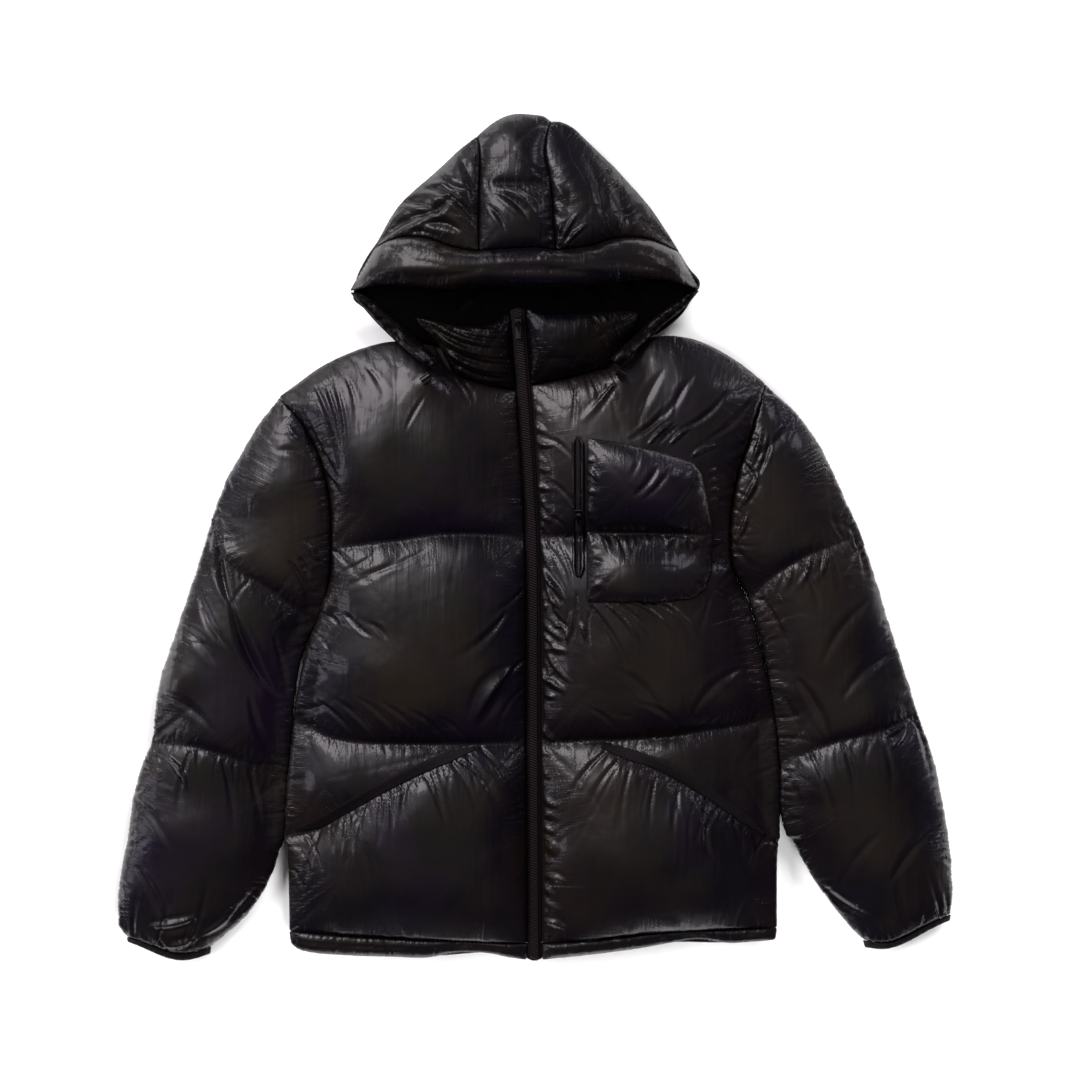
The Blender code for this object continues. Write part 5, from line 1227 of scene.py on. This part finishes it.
def laid_band(name, line, width, thick, height, section=SECTION, step=2.5 * MM, calm=4, tapered=0.0):
    """A flat band laid along a line on a panel: it follows the panel's swell, not its small folds.

    calm is how many points to each side the swell is averaged over, and tapered the length over
    which each of the band's ends narrows.
    """
    centre = smooth_line([(x, y, 0) for x, y in line], step)[:, :2]
    ahead = np.gradient(centre, axis=0)
    ahead /= np.linalg.norm(ahead, axis=1)[:, None]
    across = np.column_stack([-ahead[:, 1], ahead[:, 0]])
    along = travelled(centre)
    weights = np.hanning(2 * calm + 3)[1:-1]
    from_end = np.minimum(along, along[-1] - along)
    share = TIP + (1 - TIP) * np.clip(from_end / max(tapered, 1e-6), 0, 1)[:, None]
    rings, places = [], []
    for part, up in section:
        flat = centre + across * share * part * width / 2 * MM
        ground = height(flat)
        padded = np.pad(ground, calm, mode="edge")
        ground = np.convolve(padded, weights / weights.sum(), mode="valid")
        rings.append(np.column_stack([flat, ground + CLEAR + up * thick * MM]))
        beside = np.full(len(along), part * width / 2 * MM)
        places.append(np.column_stack([along, beside, np.zeros(len(along))]))
    points, laid = np.array(rings).swapaxes(0, 1), np.array(places).swapaxes(0, 1)
    count, size = points.shape[:2]
    polygons = [(r * size + i, r * size + (i + 1) % size, (r + 1) * size + (i + 1) % size, (r + 1) * size + i)
                for r in range(count - 1) for i in range(size)]
    polygons += [tuple(range(size))[::-1], tuple((count - 1) * size + i for i in range(size))]
    piece = new_object(name, points.reshape(-1, 3), polygons)
    data = piece.data
    data.attributes.new("laid", "FLOAT_VECTOR", "POINT").data.foreach_set("vector", laid.ravel())
    mesh = bmesh.new()
    mesh.from_mesh(data)
    bmesh.ops.recalc_face_normals(mesh, faces=mesh.faces)
    mesh.to_mesh(data)
    mesh.free()
    data.polygons.foreach_set("use_smooth", [True] * len(data.polygons))
    return piece


def ride_jacket(piece, slot, material, *stands_for):
    """Gives the piece its material, hides the CAD pieces that it stands for and attaches it to the jacket."""
    piece.data.materials.clear()
    piece.data.materials.append(material)
    if stands_for:
        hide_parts(*stands_for)
    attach(piece, "jacket")


for side in ("right", "left"):
    welt = laid_band(f"hand_pocket_band_{side}", WELTS[side], WELT_WIDTH, WELT_THICK,
                     surface_of(fronts[side]), tapered=30 * MM)
    ride_jacket(welt, "zip_tape", tape, f"welt_{side}")

# Chest pocket's zip: a fine coil zip sewn upright beside the pocket. Each of its tapes is turned over
# into a rolled lip beside the coil.
# Film-coated tape: the same weave under a smooth glossy film, which keeps the rain out.
coated, tree, shader = new_material("film-coated polyester tape")
film = node(tree, "ShaderNodeTexNoise", {"Vector": node(tree, "ShaderNodeTexCoord").outputs["Object"]},
            Scale=90.0, Detail=2.0)
hue = node(tree, "ShaderNodeMix", {"Factor": film.outputs["Fac"]}, data_type="RGBA",
           A=to_linear("#0d0a0d"), B=to_linear("#1b1519"))
tree.links.new(hue.outputs["Result"], shader.inputs["Base Color"])
shader.inputs["Roughness"].default_value = 0.2
shader.inputs["Coat Weight"].default_value = 0.4
dented = node(tree, "ShaderNodeBump", {"Height": film.outputs["Fac"]}, Strength=0.8, Distance=0.0015)
tree.links.new(dented.outputs["Normal"], shader.inputs["Normal"])
CHEST_ZIP_LINE = [(49.5, -46), (49.5, 30), (49, 117)]
# The cross-section of its tapes, in the same measures as SECTION, with the lips to both sides.
LIPPED = [(-1, 0), (-1.04, 0.7), (-0.96, 1.3), (-0.82, 1.75), (-0.66, 1.9), (-0.52, 1.6), (-0.46, 0.5),
          (0, 0.4), (0.46, 0.5), (0.52, 1.1), (0.7, 1.5), (0.9, 1.2), (1, 0), (0.5, 0), (0, 0), (-0.5, 0)]
CHEST_ZIP_WIDTH = 14.5
CHEST_ZIP_THICK = 2.4
chest_zip = laid_band("chest_zip_tapes", CHEST_ZIP_LINE, CHEST_ZIP_WIDTH, CHEST_ZIP_THICK, chest_height,
                      LIPPED, tapered=9 * MM)
ride_jacket(chest_zip, "zip_tape", coated, "chest_zip")

# Pocket's side tab: a short folded loop of the same coated tape, stitched down with a bar tack at each
# end. It pulls the pocket's outer edge straight while the zip is opened.
TAB_LINE = [(199, -5), (208, -6), (216, -4)]
TAB_WIDTH = 9.5
TAB_THICK = 2.4
tab = laid_band("pocket_side_tab", TAB_LINE, TAB_WIDTH, TAB_THICK, chest_height, step=1.5 * MM, calm=2,
                tapered=7 * MM)
ride_jacket(tab, "zip_tape", coated, "pocket_tab")

# Front zip: two woven tapes sewn to the fronts' edges, and a closed chain of moulded teeth clamped to
# them, from the hem to the collar's top edge.
ZIP_LINE = [(-20.75, 265.7), (-12.75, 159.7), (-5.75, 50.7), (-2.75, -25.3), (-2.25, -130.3), (-1.75, -301.3),
            (-0.75, -490.3)]
ZIP_WIDTH = 17.0
TAPE_THICK = 1.6
TAPE_LEVEL = 41.0
WAIST_Y = -237.3
ZIP_DROP = 5.0  # how far the zip falls from the waist seam to the hem
TOOTH_PITCH = 3.0
TOOTH_SIZE = (5.3, 1.75, 3.4)
TOOTH_BEVEL = 0.45
TOOTH_SLANT = 0.35
TOOTH_OFFSET = 2.0  # from the chain's middle to the middle of a tooth
TEETH_UP = 1.5 * MM  # above the tapes' underside
COIL_PITCH = 1.8
COIL_SIZE = 0.46  # of the front zip's teeth
COIL_OFFSET = 0.85
COIL_UP = 1.2 * MM


def zip_level(places):
    """The height of the tapes' underside."""
    part = (WAIST_Y - np.asarray(places)[:, 1] / MM) / (WAIST_Y - ZIP_LINE[-1][1])
    return (TAPE_LEVEL - ZIP_DROP * np.maximum(0, part) - 0.3) * MM


tapes = laid_band("front_zip_tapes", ZIP_LINE, ZIP_WIDTH, TAPE_THICK, zip_level)
ride_jacket(tapes, "zip_tape", tape, "front_zip")

# Moulded acetal: smooth, slightly waxy black plastic.
acetal, tree, shader = new_material("moulded acetal")
speck = node(tree, "ShaderNodeTexNoise", {"Vector": node(tree, "ShaderNodeTexCoord").outputs["Object"]},
             Scale=350.0, Detail=3.0)
hue = node(tree, "ShaderNodeMix", {"Factor": speck.outputs["Fac"]}, data_type="RGBA",
           A=to_linear("#2e272a"), B=to_linear("#453b40"))
tree.links.new(hue.outputs["Result"], shader.inputs["Base Color"])
worn = node(tree, "ShaderNodeMapRange", {"Value": speck.outputs["Fac"]}, To_Min=0.32, To_Max=0.5)
tree.links.new(worn.outputs["Result"], shader.inputs["Roughness"])
grain = node(tree, "ShaderNodeBump", {"Height": speck.outputs["Fac"]}, Strength=0.2, Distance=0.0001)
tree.links.new(grain.outputs["Normal"], shader.inputs["Normal"])


def modelled():
    """The mesh just modelled, as points and faces, with its object removed."""
    made = bpy.context.object
    points = np.array([made.matrix_world @ v.co for v in made.data.vertices])
    faces = [tuple(p.vertices) for p in made.data.polygons]
    bpy.data.objects.remove(made)
    return points, faces


bpy.ops.object.select_all(action="DESELECT")
bpy.ops.mesh.primitive_cube_add(size=1)
bpy.ops.transform.resize(value=TOOTH_SIZE)
bpy.ops.object.transform_apply(scale=True)
bpy.ops.object.mode_set(mode="EDIT")
bpy.ops.mesh.select_all(action="SELECT")
bpy.ops.mesh.bevel(offset=TOOTH_BEVEL, segments=1, affect="EDGES")
bpy.ops.object.mode_set(mode="OBJECT")
tooth, tooth_faces = modelled()
head = tooth[:, 0] < -TOOTH_SIZE[0] * 0.3
tooth[head, 1] *= 1.25  # the head that locks between the teeth opposite
tooth[:, 1] += tooth[:, 0] * TOOTH_SLANT  # each row slants, so that the two make a herringbone


def chain(name, line, level, pitch, size, offset):
    """Two rows of teeth that lock along the middle of a line."""
    centre = smooth_line([(x, y, 0) for x, y in line], 1 * MM)[:, :2] / MM
    along = travelled(centre)
    points, faces = [], []
    for number, place in enumerate(np.arange(pitch, along[-1] - pitch / 2, pitch / 2)):
        spot = np.array([np.interp(place, along, column) for column in centre.T])
        ahead = np.array([np.interp(place + 1, along, c) - np.interp(place - 1, along, c) for c in centre.T])
        ahead /= np.linalg.norm(ahead)
        side = 1 if number % 2 else -1
        out = np.array([-ahead[1], ahead[0]]) * side
        local = tooth * size
        flat = spot + (local[:, :1] + offset) * out + local[:, 1:2] * ahead * side
        z = level(np.array([spot * MM]))[0] + (local[:, 2] + TOOTH_SIZE[2] * size / 2) * MM
        first = len(points) * len(tooth)
        points.append(np.column_stack([flat * MM, z]))
        faces += [tuple(first + i for i in face) for face in tooth_faces]
    return new_object(name, np.vstack(points), faces)


teeth = chain("front_zip_teeth", ZIP_LINE, lambda places: zip_level(places) + TEETH_UP, TOOTH_PITCH, 1.0,
              TOOTH_OFFSET)
ride_jacket(teeth, "moulded_nylon", acetal)
coil = chain("chest_zip_teeth", CHEST_ZIP_LINE, lambda places: chest_height(places) + COIL_UP, COIL_PITCH,
             COIL_SIZE, COIL_OFFSET)
ride_jacket(coil, "moulded_nylon", acetal)

# Sliders and pull tabs of both zips: cast zinc, each tab swinging on its slider's pin.
# Painted zinc: satin black, rubbed brighter at its edges by the hand.
zinc, tree, shader = new_material("painted cast zinc")
cast = node(tree, "ShaderNodeTexNoise", {"Vector": node(tree, "ShaderNodeTexCoord").outputs["Object"]},
            Scale=600.0, Detail=4.0)
edge = node(tree, "ShaderNodeNewGeometry").outputs["Pointiness"]
rubbed = node(tree, "ShaderNodeMapRange", {"Value": edge}, From_Min=0.54, From_Max=0.62)
hue = node(tree, "ShaderNodeMix", {"Factor": rubbed.outputs["Result"]}, data_type="RGBA",
           A=to_linear("#242223"), B=to_linear("#6d6a68"))
tree.links.new(hue.outputs["Result"], shader.inputs["Base Color"])
shader.inputs["Metallic"].default_value = 0.9
gloss = node(tree, "ShaderNodeMapRange", {"Value": cast.outputs["Fac"]}, To_Min=0.26, To_Max=0.42)
tree.links.new(gloss.outputs["Result"], shader.inputs["Roughness"])
pits = node(tree, "ShaderNodeBump", {"Height": cast.outputs["Fac"]}, Strength=0.25, Distance=0.0001)
tree.links.new(pits.outputs["Normal"], shader.inputs["Normal"])
for name in ("front_zip_slider", "front_zip_pull", "chest_zip_slider", "chest_zip_pull"):
    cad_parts[name].data.materials.clear()
    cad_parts[name].data.materials.append(zinc)

# Cord locks: a moulded barrel at each lower end of the hood's mouth, threaded on the drawcord. It is
# ribbed for grip and hollow at its ends.
# Moulded nylon: polished black plastic with a faint flow in it.
polished, tree, shader = new_material("polished moulded nylon")
flow = node(tree, "ShaderNodeTexNoise", {"Vector": node(tree, "ShaderNodeTexCoord").outputs["Object"]},
            Scale=200.0, Detail=2.0)
hue = node(tree, "ShaderNodeMix", {"Factor": flow.outputs["Fac"]}, data_type="RGBA",
           A=to_linear("#070607"), B=to_linear("#121011"))
tree.links.new(hue.outputs["Result"], shader.inputs["Base Color"])
shader.inputs["Roughness"].default_value = 0.16
LOCK_RADIUS = 4.8
LOCK_LENGTH = 12.0
LOCK_INSETS = ((False, 0.35, -0.5), (True, 1.4, -1.0))  # whether at the ends, how far in, how deep
for name, turn in (("cord_lock_right", 35), ("cord_lock_left", -35)):
    corners = np.array([corner[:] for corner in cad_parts[name].bound_box])
    bpy.ops.object.select_all(action="DESELECT")
    bpy.ops.mesh.primitive_cylinder_add(vertices=20, radius=LOCK_RADIUS * MM, depth=LOCK_LENGTH * MM)
    lock = bpy.context.object
    for ends, inset, depth in LOCK_INSETS:
        bpy.ops.object.mode_set(mode="EDIT")
        bpy.ops.mesh.select_mode(type="FACE")
        bpy.ops.mesh.select_all(action="DESELECT")
        bpy.ops.object.mode_set(mode="OBJECT")
        for face in lock.data.polygons:
            face.select = (len(face.vertices) > 4) == ends
        bpy.ops.object.mode_set(mode="EDIT")
        bpy.ops.mesh.inset(thickness=inset * MM, depth=depth * MM, use_individual=True)
        bpy.ops.object.mode_set(mode="OBJECT")
    lock.data.transform(Matrix.Translation((corners.min(0) + corners.max(0)) / 2)
                        @ Matrix.Rotation(math.radians(turn), 4, "Z") @ Matrix.Rotation(math.pi / 2, 4, "Y"))
    lock.name = f"{name}_barrel"
    ride_jacket(lock, "moulded_nylon", polished, name)
